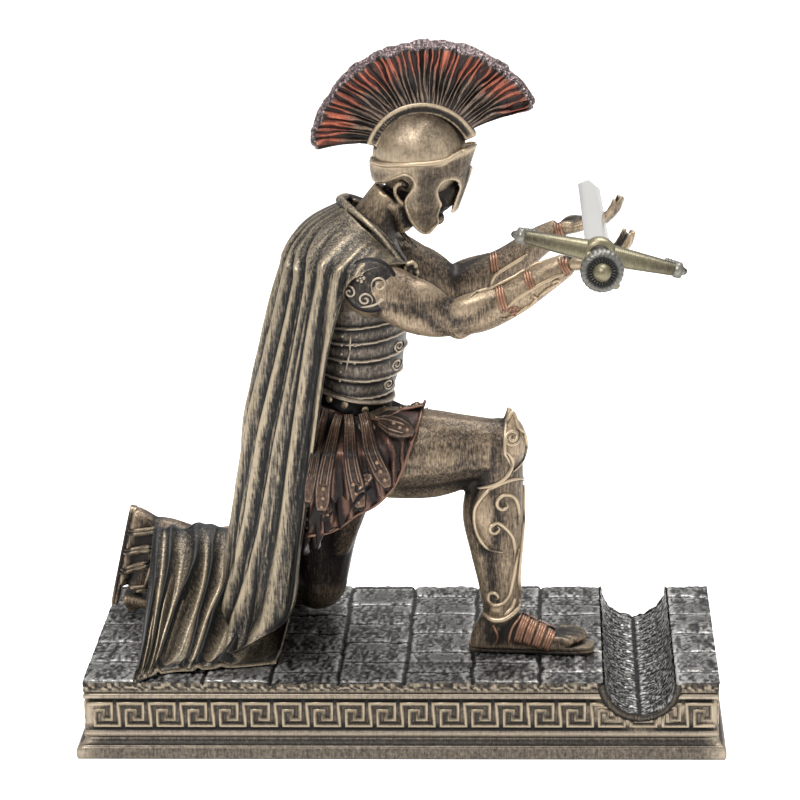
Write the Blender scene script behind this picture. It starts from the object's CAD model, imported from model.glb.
# %% [markdown]
# # A kneeling Roman soldier, dressed
#
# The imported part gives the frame: a plinth, a figure with its cloak, and a loose sword.
# This script keeps their places and sizes, and builds the surface that the photograph
# shows: folds, plates, straps, scrolls, paving, and a patina rubbed bright on the ridges.

import math

import bmesh
import bpy
import numpy as np
from mathutils import Matrix, Vector
from mathutils.bvhtree import BVHTree


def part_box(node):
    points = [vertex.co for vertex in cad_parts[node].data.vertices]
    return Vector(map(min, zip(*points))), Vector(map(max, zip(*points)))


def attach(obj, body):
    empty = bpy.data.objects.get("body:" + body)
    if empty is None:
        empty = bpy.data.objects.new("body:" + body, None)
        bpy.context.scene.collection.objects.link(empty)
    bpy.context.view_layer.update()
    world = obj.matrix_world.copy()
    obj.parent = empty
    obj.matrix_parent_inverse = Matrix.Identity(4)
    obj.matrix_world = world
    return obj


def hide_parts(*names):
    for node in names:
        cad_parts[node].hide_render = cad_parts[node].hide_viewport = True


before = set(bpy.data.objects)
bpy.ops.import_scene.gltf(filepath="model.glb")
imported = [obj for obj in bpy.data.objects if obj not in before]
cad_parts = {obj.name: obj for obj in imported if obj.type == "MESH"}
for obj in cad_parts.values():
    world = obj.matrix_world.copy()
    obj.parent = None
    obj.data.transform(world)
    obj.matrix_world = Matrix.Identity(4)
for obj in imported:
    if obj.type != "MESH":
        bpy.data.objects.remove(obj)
bpy.ops.object.select_all(action="DESELECT")
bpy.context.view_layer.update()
MM = 0.001

# %% [markdown]
# ## The grid
#
# Places on the figure are steps of a grid that stands on the plinth's top. The packed
# figure is `FIGURE_STEPS` high, so one step follows from the frame.

# %%
FIGURE_STEPS = 167.4
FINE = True

plinth_low, plinth_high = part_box("plinth")
soldier_low, soldier_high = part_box("soldier")
STANCE = soldier_low.z
STEP = (soldier_high.z - soldier_low.z) / FIGURE_STEPS
print(f"one grid step is {STEP / MM:.3f} mm, and the figure stands at {STANCE / MM:.2f} mm")


def at(x, y, z):
    """A point of the figure, in grid steps from the middle of the plinth's top."""
    return Vector((x * STEP, y * STEP, z * STEP + STANCE))


def all_at(x, y, z):
    """Points of the figure from arrays of grid steps."""
    return np.stack([x * STEP, y * STEP, z * STEP + STANCE], -1)


# %% [markdown]
# ## Tools
#
# Meshes come from arrays or from `bmesh`. Forms that flow into each other, like limbs,
# are put together as clay: joined, remeshed into one skin, and smoothed.

# %%
def link(name, mesh):
    made = bpy.data.objects.new(name, mesh)
    bpy.context.scene.collection.objects.link(made)
    return made


def mesh_of(name, verts, faces):
    mesh = bpy.data.meshes.new(name)
    mesh.from_pydata(np.asarray(verts).tolist(), [], np.asarray(faces).tolist())
    mesh.validate()
    mesh.shade_smooth()
    return link(name, mesh)


def bmesh_object(name, bm):
    bmesh.ops.recalc_face_normals(bm, faces=bm.faces)
    mesh = bpy.data.meshes.new(name)
    bm.to_mesh(mesh)
    bm.free()
    mesh.shade_smooth()
    return link(name, mesh)


def applied(source):
    """The object's evaluated mesh as a plain object, in place of the source."""
    bpy.context.view_layer.update()
    graph = bpy.context.evaluated_depsgraph_get()
    mesh = bpy.data.meshes.new_from_object(source.evaluated_get(graph))
    mesh.transform(source.matrix_world)
    name = source.name
    bpy.data.objects.remove(source)
    mesh.shade_smooth()
    return link(name, mesh)


def joined(name, pieces):
    bm = bmesh.new()
    for piece in pieces:
        bm.from_mesh(piece.data)
        bpy.data.objects.remove(piece)
    mesh = bpy.data.meshes.new(name)
    bm.to_mesh(mesh)
    bm.free()
    mesh.shade_smooth()
    return link(name, mesh)


# %%
def lattice_faces(rows, columns, wrap=False):
    """Quads over a lattice of rows by columns; wrap closes each row on itself."""
    i = np.arange(rows - 1)[:, None]
    j = np.arange(columns if wrap else columns - 1)[None, :]
    k = (j + 1) % columns
    quads = np.stack(
        [i * columns + j, i * columns + k, (i + 1) * columns + k, (i + 1) * columns + j], axis=-1
    )
    return quads.reshape(-1, 4)


def even_values(down, across, rows, columns):
    """Two arrays, rows by columns, that run evenly between two ends down and across."""
    return np.meshgrid(np.linspace(*down, rows), np.linspace(*across, columns), indexing="ij")


def lattice(name, points, wrap=False):
    """A surface from an array of points, rows by columns by 3."""
    rows, columns = points.shape[:2]
    return mesh_of(name, points.reshape(-1, 3), lattice_faces(rows, columns, wrap))


def closed_loft(name, rings):
    """A closed solid through rings that have as many points each."""
    bm = bmesh.new()
    rows = [[bm.verts.new(point) for point in ring] for ring in rings]
    for one, two in zip(rows, rows[1:]):
        for i in range(len(one)):
            j = (i + 1) % len(one)
            bm.faces.new((one[i], one[j], two[j], two[i]))
    bm.faces.new(rows[0])
    bm.faces.new(rows[-1])
    return bmesh_object(name, bm)


# %%
def smooth_line(points, between=6):
    """Points on a smooth curve through the given vectors, of any length."""
    line = []
    last = len(points) - 1
    for i in range(last):
        p0, p1 = points[max(i - 1, 0)], points[i]
        p2, p3 = points[i + 1], points[min(i + 2, last)]
        for step in range(between):
            t = step / between
            line.append(
                0.5 * (
                    2 * p1 + (p2 - p0) * t + (2 * p0 - 5 * p1 + 4 * p2 - p3) * t * t
                    + (3 * p1 - p0 - 3 * p2 + p3) * t * t * t
                )
            )
    line.append(points[last].copy())
    return line


def tube(name, points, radii, sides=8, squash=1.0, outward=None):
    """A tube along points in metres, each with its radius, closed at both ends."""
    points = np.array([tuple(p) for p in points])
    radii = np.broadcast_to(np.asarray(radii, float), (len(points),))
    along = np.gradient(points, axis=0)
    along /= np.linalg.norm(along, axis=1, keepdims=True) + 1e-12
    up = np.zeros_like(along)
    guide = np.array(outward if outward is not None else (0.0, 0.0, 1.0), float)
    for i, direction in enumerate(along):
        across = guide - direction * guide.dot(direction)
        if np.linalg.norm(across) < 1e-4:
            across = np.array((1.0, 0.0, 0.0)) - direction * direction[0]
        up[i] = across / np.linalg.norm(across)
        if outward is None:
            guide = up[i]
    side = np.cross(along, up)
    turn = np.arange(sides) * 2 * math.pi / sides
    ring = side[:, None, :] * np.cos(turn)[None, :, None]
    ring = ring + squash * up[:, None, :] * np.sin(turn)[None, :, None]
    lattice_points = points[:, None, :] + ring * radii[:, None, None]
    faces = lattice_faces(len(points), sides, wrap=True).tolist()
    flat = lattice_points.reshape(-1, 3).tolist()
    for end in (0, len(points) - 1):
        flat.append(points[end].tolist())
        for j in range(sides):
            faces.append([end * sides + j, end * sides + (j + 1) % sides, len(flat) - 1])
    mesh = bpy.data.meshes.new(name)
    mesh.from_pydata(flat, [], faces)
    made = link(name, mesh)
    bm = bmesh.new()
    bm.from_mesh(mesh)
    bmesh.ops.recalc_face_normals(bm, faces=bm.faces)
    bm.to_mesh(mesh)
    bm.free()
    mesh.shade_smooth()
    return made


# %%
def limb(name, *stations, sides=16):
    """A round limb through (x, y, z, radius) stations, all in grid steps."""
    line = smooth_line([Vector(station) for station in stations])
    radii = [station[3] * STEP for station in line]
    points = [at(*station[:3]) for station in line]
    return tube(name, points, radii, sides)


def ball(name, centre, radii, pitch=0.0, yaw=0.0, segments=24):
    """An ellipsoid in grid steps, tipped about Y by pitch and turned about Z by yaw."""
    bm = bmesh.new()
    bmesh.ops.create_uvsphere(bm, u_segments=segments, v_segments=segments * 2 // 3, radius=1.0)
    size = Matrix.Diagonal((*[r * STEP for r in radii], 1.0))
    turn = Matrix.Rotation(math.radians(yaw), 4, "Z") @ Matrix.Rotation(math.radians(pitch), 4, "Y")
    bmesh.ops.transform(bm, matrix=Matrix.Translation(at(*centre)) @ turn @ size, verts=bm.verts)
    return bmesh_object(name, bm)


def fair(target, grain, soften, coarser=1.5):
    """Remeshed evenly and smoothed, so that wear has vertices to sit on."""
    flow = target.modifiers.new("flow", "REMESH")
    flow.mode = "VOXEL"
    flow.voxel_size = grain * (1 if FINE else coarser)
    ease = target.modifiers.new("ease", "SMOOTH")
    ease.factor = 0.5
    ease.iterations = soften
    return applied(target)


def clay(name, forms, grain, soften):
    """All the forms run together into one skin; grain and soften set its detail."""
    return fair(joined(name, forms), grain, soften, 1.6)


# %%
def trimmed(target, cutter, operation="DIFFERENCE"):
    """A Boolean of two objects; the cutter is used up."""
    cut = target.modifiers.new("cut", "BOOLEAN")
    cut.object = cutter
    cut.operation = operation
    cut.solver = "EXACT"
    made = applied(target)
    bpy.data.objects.remove(cutter)
    return made


def welded(target):
    """Points that lie on each other, as at a seam, made into one."""
    weld = target.modifiers.new("weld", "WELD")
    weld.merge_threshold = 0.01 * MM
    return applied(target)


# %%
def value_noise(x, y, seed=0):
    """Smooth noise of two coordinates, from -1 to 1, with cells one unit wide."""
    table = np.random.default_rng(seed).uniform(-1, 1, (64, 64))
    x, y = np.asarray(x, float), np.asarray(y, float)
    i, j = np.floor(x).astype(int), np.floor(y).astype(int)
    fx, fy = x - i, y - j
    fx, fy = fx * fx * (3 - 2 * fx), fy * fy * (3 - 2 * fy)
    low = table[i % 64, j % 64] * (1 - fx) + table[(i + 1) % 64, j % 64] * fx
    high = table[i % 64, (j + 1) % 64] * (1 - fx) + table[(i + 1) % 64, (j + 1) % 64] * fx
    return low * (1 - fy) + high * fy


def coordinates(target):
    points = np.empty(len(target.data.vertices) * 3)
    target.data.vertices.foreach_get("co", points)
    return points.reshape(-1, 3)


def normals_of(target):
    values = np.empty(len(target.data.vertices) * 3)
    target.data.vertex_normals.foreach_get("vector", values)
    return values.reshape(-1, 3)


def set_coordinates(target, points):
    target.data.vertices.foreach_set("co", np.ascontiguousarray(points, dtype=np.float32).ravel())
    target.data.update()


# %%
def tree_of(*targets):
    """A search tree over one or more objects, to lay lines and studs on them."""
    verts, faces = [], []
    for target in targets:
        start = len(verts)
        verts += [tuple(v.co) for v in target.data.vertices]
        faces += [[start + i for i in p.vertices] for p in target.data.polygons]
    return BVHTree.FromPolygons(verts, faces)


def laid(tree, x, z, side=-1, last=None):
    """The surface point that a ray from the side meets, and its normal; x and z in grid steps.

    Where the ray misses, the nearest point beside the last place is taken, or nothing."""
    aim = Vector((0, -side, 0))
    place, normal, _, _ = tree.ray_cast(at(x, 90 * side, z), aim)
    if place is None and last is not None:
        beside = at(x, 0, z)
        beside.y = last.y
        place, normal, _, _ = tree.find_nearest(beside, 1.5 * STEP)
    if place is None:
        return None
    if normal.dot(aim) > 0:
        normal = -normal
    return place, normal


# %%
def pearl(name, radius, place, segments=10, bands=8):
    """A small sphere, its radius in metres, that a matrix carries to its place."""
    bm = bmesh.new()
    bmesh.ops.create_uvsphere(bm, u_segments=segments, v_segments=bands, radius=radius)
    bmesh.ops.transform(bm, matrix=place, verts=bm.verts)
    return bmesh_object(name, bm)


def stud_place(place, outward, height):
    """The matrix of a stud that stands on a surface, flattened to a height."""
    turn = outward.to_track_quat("Z", "Y").to_matrix().to_4x4()
    return Matrix.Translation(place) @ turn @ Matrix.Diagonal((1, 1, height, 1))


def spiral(x, z, radius, turns, start=0.0, hand=1, steps=26):
    """A flat spiral's points in grid steps, from its eye outwards."""
    line = []
    for i in range(steps + 1):
        t = i / steps
        a = start + hand * 2 * math.pi * turns * t
        line.append((x + radius * t ** 0.8 * math.cos(a), z + radius * t ** 0.8 * math.sin(a)))
    return line


def raised_line(name, tree, line, width, side=-1, sink=0.35):
    """A rounded ridge along (x, z) points laid on a surface; width in grid steps."""
    if len(line) > 2:
        line = [tuple(p) for p in smooth_line([Vector(p) for p in line], 5)]
    places = []
    for x, z in line:
        spot = laid(tree, x, z, side, places[-1][0] if places else None)
        if spot:
            places.append(spot)
    if len(places) < 3:
        return link(name, bpy.data.meshes.new(name))
    radius = width * STEP / 2
    points = [place + normal * radius * (1 - 2 * sink) for place, normal in places]
    count = len(points)
    taper = [min(1.0, 0.45 + 3.0 * min(i, count - 1 - i) / count) for i in range(count)]
    return tube(name, points, [radius * t for t in taper], 6)


def studs(name, tree, spots, radius, side=-1, height=0.7):
    """Round studs on a surface at (x, z) spots; radius in grid steps."""
    made = []
    for x, z in spots:
        spot = laid(tree, x, z, side)
        if spot is None:
            continue
        made.append(pearl(name, radius * STEP, stud_place(*spot, height)))
    return joined(name, made)


# %% [markdown]
# ## Patina
#
# Every piece carries a `wear` value at each vertex: how far it stands proud of its own
# smoothed shape. The shared `drybrush` group turns wear and noise into dark hollows,
# a mid tone and rubbed ridges, and each material gives it three colours.

# %%
PIECES = []


def spread_over(target):
    """The edges and neighbour counts that the smoothing of a mesh needs."""
    edges = np.empty(len(target.data.edges) * 2, dtype=np.int64)
    target.data.edges.foreach_get("vertices", edges)
    edges = edges.reshape(-1, 2)
    count = np.bincount(edges.ravel(), minlength=len(target.data.vertices)).astype(float)
    return edges, np.maximum(count, 1.0)


def averaged(values, edges, count):
    result = np.empty_like(values)
    for axis in range(values.shape[1]):
        column = values[:, axis]
        total = np.bincount(edges[:, 0], column[edges[:, 1]], len(values))
        total += np.bincount(edges[:, 1], column[edges[:, 0]], len(values))
        result[:, axis] = total / count
    return result


def add_wear(target, reach=(0.8, 2.0), strength=1.0, base=0.0):
    """Stores wear from smoothing over a few reaches, in mm: ridges are positive."""
    points = coordinates(target)
    normals = normals_of(target)
    edges, count = spread_over(target)
    spacing = np.linalg.norm(points[edges[:, 0]] - points[edges[:, 1]], axis=1).mean()
    wear = np.zeros(len(points))
    smooth = points.copy()
    done = 0
    for size in reach:
        rounds = max(done + 1, min(90, round((size * MM / spacing) ** 2)))
        for _ in range(rounds - done):
            smooth = averaged(smooth, edges, count)
        done = rounds
        proud = ((points - smooth) * normals).sum(1)
        proud -= 0.9 * np.median(proud)
        wear += np.tanh(proud / (0.16 * spacing * math.sqrt(rounds)))
    wear = np.clip(strength / len(reach) * wear + base, -1, 1)
    attribute = target.data.attributes.new("wear", "FLOAT", "POINT")
    attribute.data.foreach_set("value", wear.astype(np.float32))


# %%
def socket(tree, name, kind, value=None, output=False):
    way = "OUTPUT" if output else "INPUT"
    made = tree.interface.new_socket(name=name, in_out=way, socket_type=kind)
    if value is not None:
        made.default_value = value
    return made


def drybrush_group():
    """Wear in, colour, roughness and height out, for every metal of the statue."""
    tree = bpy.data.node_groups.new("drybrush", "ShaderNodeTree")
    for name, kind, value in (
        ("Dark", "NodeSocketColor", (0.02, 0.017, 0.014, 1)),
        ("Mid", "NodeSocketColor", (0.1, 0.085, 0.065, 1)),
        ("Light", "NodeSocketColor", (0.5, 0.4, 0.27, 1)),
        ("Scale", "NodeSocketFloat", 400.0),
        ("Lift", "NodeSocketFloat", 0.0),
        ("Streak", "NodeSocketFloat", 0.8),
    ):
        socket(tree, name, kind, value)
    socket(tree, "Color", "NodeSocketColor", output=True)
    socket(tree, "Roughness", "NodeSocketFloat", output=True)
    socket(tree, "Height", "NodeSocketFloat", output=True)
    nodes, links = tree.nodes, tree.links
    given, result = nodes.new("NodeGroupInput"), nodes.new("NodeGroupOutput")
    wear = nodes.new("ShaderNodeAttribute")
    wear.attribute_name = "wear"
    place = nodes.new("ShaderNodeTexCoord")
    noise = nodes.new("ShaderNodeTexNoise")
    noise.inputs["Detail"].default_value = 6
    noise.inputs["Roughness"].default_value = 0.7
    links.new(place.outputs["Object"], noise.inputs["Vector"])
    links.new(given.outputs["Scale"], noise.inputs["Scale"])
    stretch = nodes.new("ShaderNodeMapping")
    stretch.inputs["Scale"].default_value = (1.0, 1.0, 0.1)
    links.new(place.outputs["Object"], stretch.inputs["Vector"])
    streak = nodes.new("ShaderNodeTexNoise")
    streak.inputs["Scale"].default_value = 2600
    streak.inputs["Detail"].default_value = 4
    links.new(stretch.outputs["Vector"], streak.inputs["Vector"])

    def arithmetic(kind, one, two, clamp=False):
        node = nodes.new("ShaderNodeMath")
        node.operation = kind
        node.use_clamp = clamp
        for slot, value in enumerate((one, two)):
            if isinstance(value, (int, float)):
                node.inputs[slot].default_value = value
            else:
                links.new(value, node.inputs[slot])
        return node.outputs[0]

    speckle = arithmetic("MULTIPLY", arithmetic("SUBTRACT", noise.outputs["Fac"], 0.5), 1.3)
    brushed = arithmetic("SUBTRACT", streak.outputs["Fac"], 0.5)
    hairs = arithmetic("MULTIPLY", brushed, given.outputs["Streak"])
    broken = arithmetic("ADD", arithmetic("ADD", wear.outputs["Fac"], speckle), hairs)
    rubbed = arithmetic("ADD", broken, given.outputs["Lift"])

    def ramp(value, low, high):
        node = nodes.new("ShaderNodeMapRange")
        node.interpolation_type = "SMOOTHSTEP"
        node.inputs["From Min"].default_value = low
        node.inputs["From Max"].default_value = high
        links.new(value, node.inputs["Value"])
        return node.outputs["Result"]

    def mixed(share, one, two):
        node = nodes.new("ShaderNodeMix")
        node.data_type = "RGBA"
        links.new(share, node.inputs["Factor"])
        links.new(one, node.inputs["A"])
        links.new(two, node.inputs["B"])
        return node.outputs["Result"]

    shown = ramp(rubbed, -0.6, 0.2)
    bright = ramp(rubbed, -0.15, 0.95)
    body = mixed(shown, given.outputs["Dark"], given.outputs["Mid"])
    links.new(mixed(bright, body, given.outputs["Light"]), result.inputs["Color"])
    dull = arithmetic("SUBTRACT", 0.5, arithmetic("MULTIPLY", bright, 0.16))
    links.new(arithmetic("ADD", dull, arithmetic("MULTIPLY", speckle, 0.12)), result.inputs["Roughness"])
    links.new(arithmetic("ADD", noise.outputs["Fac"], streak.outputs["Fac"]), result.inputs["Height"])
    return tree


DRYBRUSH = drybrush_group()


# %%
def new_material(name):
    material = bpy.data.materials.new(name)
    material.use_nodes = True
    return material, material.node_tree.nodes["Principled BSDF"]


def patina(name, dark, mid, light, metallic=0.6, lift=0.0, scale=900.0, bump=0.25, streak=0.8):
    """A metal whose ridges are rubbed to `light` over `mid`, with `dark` in the hollows."""
    material, shader = new_material(name)
    nodes, links = material.node_tree.nodes, material.node_tree.links
    group = nodes.new("ShaderNodeGroup")
    group.node_tree = DRYBRUSH
    for label, colour in (("Dark", dark), ("Mid", mid), ("Light", light)):
        group.inputs[label].default_value = (*colour, 1.0)
    group.inputs["Streak"].default_value = streak
    group.inputs["Scale"].default_value = scale
    group.inputs["Lift"].default_value = lift
    shader.inputs["Metallic"].default_value = metallic
    links.new(group.outputs["Color"], shader.inputs["Base Color"])
    links.new(group.outputs["Roughness"], shader.inputs["Roughness"])
    relief = nodes.new("ShaderNodeBump")
    relief.inputs["Strength"].default_value = bump
    relief.inputs["Distance"].default_value = 0.12 * MM
    links.new(group.outputs["Height"], relief.inputs["Height"])
    links.new(relief.outputs["Normal"], shader.inputs["Normal"])
    return material


BRONZE = patina("bronze", (0.012, 0.01, 0.008), (0.07, 0.053, 0.037), (0.36, 0.275, 0.175))
SKIN = patina("skin", (0.014, 0.011, 0.009), (0.15, 0.11, 0.074), (0.4, 0.305, 0.2), lift=0.03, streak=1.6)
CLOTH = patina(
    "cloak", (0.01, 0.01, 0.01), (0.075, 0.064, 0.052), (0.35, 0.285, 0.195),
    bump=0.4, lift=0.02, streak=2.4,
)
ARMOUR = patina("armour", (0.008, 0.007, 0.007), (0.05, 0.041, 0.034), (0.4, 0.33, 0.25))
HELMET = patina("helmet", (0.014, 0.011, 0.009), (0.12, 0.092, 0.064), (0.44, 0.345, 0.235), lift=0.03)
RED = patina("red_cloth", (0.008, 0.005, 0.004), (0.042, 0.018, 0.013), (0.17, 0.09, 0.06), metallic=0.45)
STRAP = patina("straps", (0.007, 0.005, 0.004), (0.06, 0.032, 0.021), (0.27, 0.18, 0.12), metallic=0.5)
LEATHER = patina("leather", (0.01, 0.006, 0.005), (0.08, 0.037, 0.022), (0.27, 0.145, 0.09), metallic=0.5)
SOLE = patina("sole", (0.008, 0.006, 0.005), (0.03, 0.023, 0.018), (0.28, 0.215, 0.145))
STONE = patina("paving", (0.005, 0.005, 0.005), (0.08, 0.077, 0.073), (0.52, 0.505, 0.48), scale=1400)
EDGE = patina(
    "slab_edge", (0.012, 0.01, 0.008), (0.09, 0.072, 0.052), (0.31, 0.255, 0.185),
    scale=1500, lift=0.05,
)
FRIEZE = patina("frieze", (0.01, 0.009, 0.008), (0.06, 0.049, 0.039), (0.34, 0.28, 0.21))
KEY = patina("keys", (0.03, 0.024, 0.017), (0.16, 0.125, 0.084), (0.37, 0.3, 0.21), lift=0.05)
BRASS = patina("brass", (0.018, 0.016, 0.01), (0.09, 0.078, 0.047), (0.2, 0.175, 0.108), lift=0.05)


def steel_material():
    material, shader = new_material("steel")
    shader.inputs["Base Color"].default_value = (0.86, 0.85, 0.82, 1)
    shader.inputs["Metallic"].default_value = 0.9
    shader.inputs["Roughness"].default_value = 0.25
    return material


STEEL = steel_material()


def dress(piece, material, node="soldier", reach=(0.8, 2.0), strength=1.0, base=0.0):
    """Gives a finished piece its wear and material, and its place in the part."""
    if "wear" not in piece.data.attributes:
        add_wear(piece, reach, strength, base)
    piece.data.materials.clear()
    piece.data.materials.append(material)
    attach(piece, "root")
    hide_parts(node)
    PIECES.append(piece)
    print(f"{piece.name}: {sum(len(p.vertices) - 2 for p in piece.data.polygons)} triangles")
    return piece


# %% [markdown]
# ## The plinth
#
# The real plinth is cast with a rounded foot, a frieze of running keys between two lips,
# a top of rough stones, and a trough for a pen. The mouldings could be a bevelled box, but
# one stack of rectangles gives each step its measured height. The keys are ribbons laid on
# the four faces. The stones are a lattice whose depth follows the distance to the nearest
# joint, because separate stones would leave gaps at the rim.

# %%
BLOCK_WIDTH = 170.9 * MM
BLOCK_DEPTH = 83.4 * MM
BLOCK_TOP = 18.0 * MM
SLAB_BOTTOM = 18.4 * MM
SLAB_OUT = 0.7 * MM
FRIEZE_BOTTOM = 7.6 * MM
FRIEZE_TOP = 16.4 * MM
STONE_WIDTH = 18.2 * MM
STONE_FIRST = -53.3 * MM
STONE_LENGTH = 16.4 * MM
JOINT = 0.8 * MM
TROUGH_X = 64.6 * MM
TROUGH_WIDTH = 19.4 * MM
TROUGH_DEPTH = 9.2 * MM
TROUGH_LINING = 1.8 * MM
TROUGH_COURSE = 7.6 * MM
KEY_HEIGHT = 5.9 * MM
KEY_STROKE = 1.2 * MM
KEY_RELIEF = 0.55 * MM
SLAB_TOP = plinth_high.z
HALF_W = BLOCK_WIDTH / 2 + SLAB_OUT
HALF_D = BLOCK_DEPTH / 2 + SLAB_OUT


# %%
def rectangle_ring(width, depth, z, spacing=2.2 * MM):
    """Points round a rectangle, closely spaced so that wear shows along it."""
    x, y = width / 2, depth / 2
    corners = [(-x, -y), (x, -y), (x, y), (-x, y)]
    counts = [int(BLOCK_WIDTH / spacing), int(BLOCK_DEPTH / spacing)] * 2
    ring = []
    for side in range(4):
        (ax, ay), (bx, by) = corners[side], corners[(side + 1) % 4]
        for i in range(counts[side]):
            t = i / counts[side]
            ring.append((ax + (bx - ax) * t, ay + (by - ay) * t, z))
    return ring


def mouldings():
    foot_w = plinth_high.x - plinth_low.x
    foot_d = plinth_high.y - plinth_low.y
    lip = 0.5 * MM
    stations = [(foot_w - 1.0 * MM, foot_d - 1.0 * MM, 0.0)]
    for k in range(9):
        a = math.pi * k / 8
        out = 0.9 * MM * (1 - math.sin(a)) * 0.6
        stations.append((foot_w - 2 * out, foot_d - 2 * out, (1.8 - 1.7 * math.cos(a)) * MM))
    for k in range(6):
        a = math.pi / 2 * k / 5
        step_in = 0.5 * MM + 1.8 * MM * math.sin(a)
        z = (3.7 + 1.7 * (1 - math.cos(a))) * MM
        stations.append((foot_w - 2 * step_in, foot_d - 2 * step_in, z))
    lip_w, lip_d = BLOCK_WIDTH + 2 * lip, BLOCK_DEPTH + 2 * lip
    for inward_mm, z in ((0.8, 5.7 * MM), (0.0, 5.9 * MM), (0.0, 7.2 * MM), (0.4, 7.45 * MM)):
        stations.append((lip_w - inward_mm * MM, lip_d - inward_mm * MM, z))
    for z in (FRIEZE_BOTTOM, 9.8 * MM, 12 * MM, 14.2 * MM, FRIEZE_TOP):
        stations.append((BLOCK_WIDTH, BLOCK_DEPTH, z))
    for inward_mm, z in ((0.4, 16.55 * MM), (0.0, 16.8 * MM), (0.0, 17.6 * MM), (0.6, BLOCK_TOP)):
        stations.append((lip_w - inward_mm * MM, lip_d - inward_mm * MM, z))
    for z in (BLOCK_TOP, SLAB_BOTTOM + 0.6 * MM):
        stations.append((BLOCK_WIDTH - 1.4 * MM, BLOCK_DEPTH - 1.4 * MM, z))
    block = closed_loft("plinth_mouldings", [rectangle_ring(*station) for station in stations])
    return trimmed(block, trough_bore("mould_bore", trough_radius() + 0.6 * MM))


def trough_radius():
    half = TROUGH_WIDTH / 2
    return (half * half + TROUGH_DEPTH * TROUGH_DEPTH) / (2 * TROUGH_DEPTH)


def trough_bore(name, radius):
    """A cylinder along Y through the trough, to cut the pieces round it."""
    bm = bmesh.new()
    bmesh.ops.create_cone(
        bm, cap_ends=True, segments=64, radius1=radius, radius2=radius, depth=120 * MM
    )
    axis_z = SLAB_TOP - TROUGH_DEPTH + trough_radius()
    turn = Matrix.Translation((TROUGH_X, 0, axis_z)) @ Matrix.Rotation(math.radians(90), 4, "X")
    bmesh.ops.transform(bm, matrix=turn, verts=bm.verts)
    return bmesh_object(name, bm)


# %%
def key_turns():
    """One unit of the running key, in shares of its pitch and its height."""
    top, bottom = 0.5, -0.5
    low, high = top - 0.70, top - 0.32
    return [
        (0.0, bottom), (0.0, top), (0.745, top), (0.745, low),
        (0.50, low), (0.50, high), (0.255, high), (0.255, bottom),
    ]


def key_ribbon(name, keys, length, place):
    """A raised ribbon of keys, as overlapping straight bars with rounded backs."""
    pitch = length / keys
    line = [((k + x) * pitch, y * KEY_HEIGHT) for k in range(keys) for x, y in key_turns()][1:]
    line.append(((keys - 0.12) * pitch, -0.5 * KEY_HEIGHT))
    start = -length / 2 + 0.06 * pitch
    half = KEY_STROKE / 2
    profile = [(-half, -0.1 * MM), (-half, 0.75 * KEY_RELIEF), (-0.5 * half, KEY_RELIEF)]
    profile += [(-side, height) for side, height in profile[::-1]]
    rings = []
    for i, (x, y) in enumerate(line):
        before, after = line[max(i - 1, 0)], line[min(i + 1, len(line) - 1)]
        side = Vector((0.0, 0.0))
        for a, b in ((before, (x, y)), ((x, y), after)):
            if a != b:
                along = (Vector(b) - Vector(a)).normalized()
                side += Vector((-along.y, along.x))
        rings.append([(start + x + side.x * s, y + side.y * s, h) for s, h in profile])
    bar = closed_loft(name, rings)
    bar.matrix_world = place
    return applied(bar)


def frieze():
    middle = (FRIEZE_BOTTOM + FRIEZE_TOP) / 2
    upright = Matrix.Rotation(math.radians(90), 4, "X")
    bars = []
    for turn, keys, length, out in (
        (0, 20, BLOCK_WIDTH, BLOCK_DEPTH / 2), (90, 10, BLOCK_DEPTH, BLOCK_WIDTH / 2),
        (180, 20, BLOCK_WIDTH, BLOCK_DEPTH / 2), (270, 10, BLOCK_DEPTH, BLOCK_WIDTH / 2),
    ):
        around = Matrix.Rotation(math.radians(turn), 4, "Z")
        place = around @ Matrix.Translation((0, -out, middle)) @ upright
        bars.append(key_ribbon(f"keys_{turn}", keys, length, place))
    keys = joined("plinth_keys", bars)
    return trimmed(keys, trough_bore("key_bore", trough_radius() + TROUGH_LINING + 0.2 * MM))


# %%
def stone_depth(x, y):
    """How deep the paving lies under the slab's top at x and y: joints and tool marks."""
    wobble = 0.35 * MM * value_noise(y / (5 * MM), x / (9 * MM), 3)
    column = (x + wobble - STONE_FIRST) / STONE_WIDTH
    to_joint = np.abs(column - np.round(column)) * STONE_WIDTH
    index = np.floor(column).astype(int)
    count = 4 + index % 2
    sway = 0.4 * MM * value_noise(x / (6 * MM), y / (9 * MM), 5)
    course = (y + sway) / STONE_LENGTH + (count - 1) / 2
    to_course = np.abs(course - np.round(course)) * STONE_LENGTH
    nearest = np.minimum(to_joint, to_course)
    gap = 0.6 * MM * np.exp(-((nearest / (0.55 * JOINT)) ** 2))
    dome = 0.2 * MM * np.exp(-nearest / (1.0 * MM))
    tilt = 0.18 * MM * value_noise(index * 7.31, np.round(course) * 3.7, 11)
    chisel = value_noise(x / (0.9 * MM), y / (2.0 * MM), 7)
    chisel = 0.26 * MM * np.maximum(0, chisel) ** 1.2
    rough = 0.13 * MM * value_noise(x / (0.6 * MM), y / (1.3 * MM), 9)
    lumps = 0.22 * MM * value_noise(x / (3 * MM), y / (7 * MM), 13)
    return gap + dome + 0.12 * MM + tilt + chisel + rough + lumps


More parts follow.
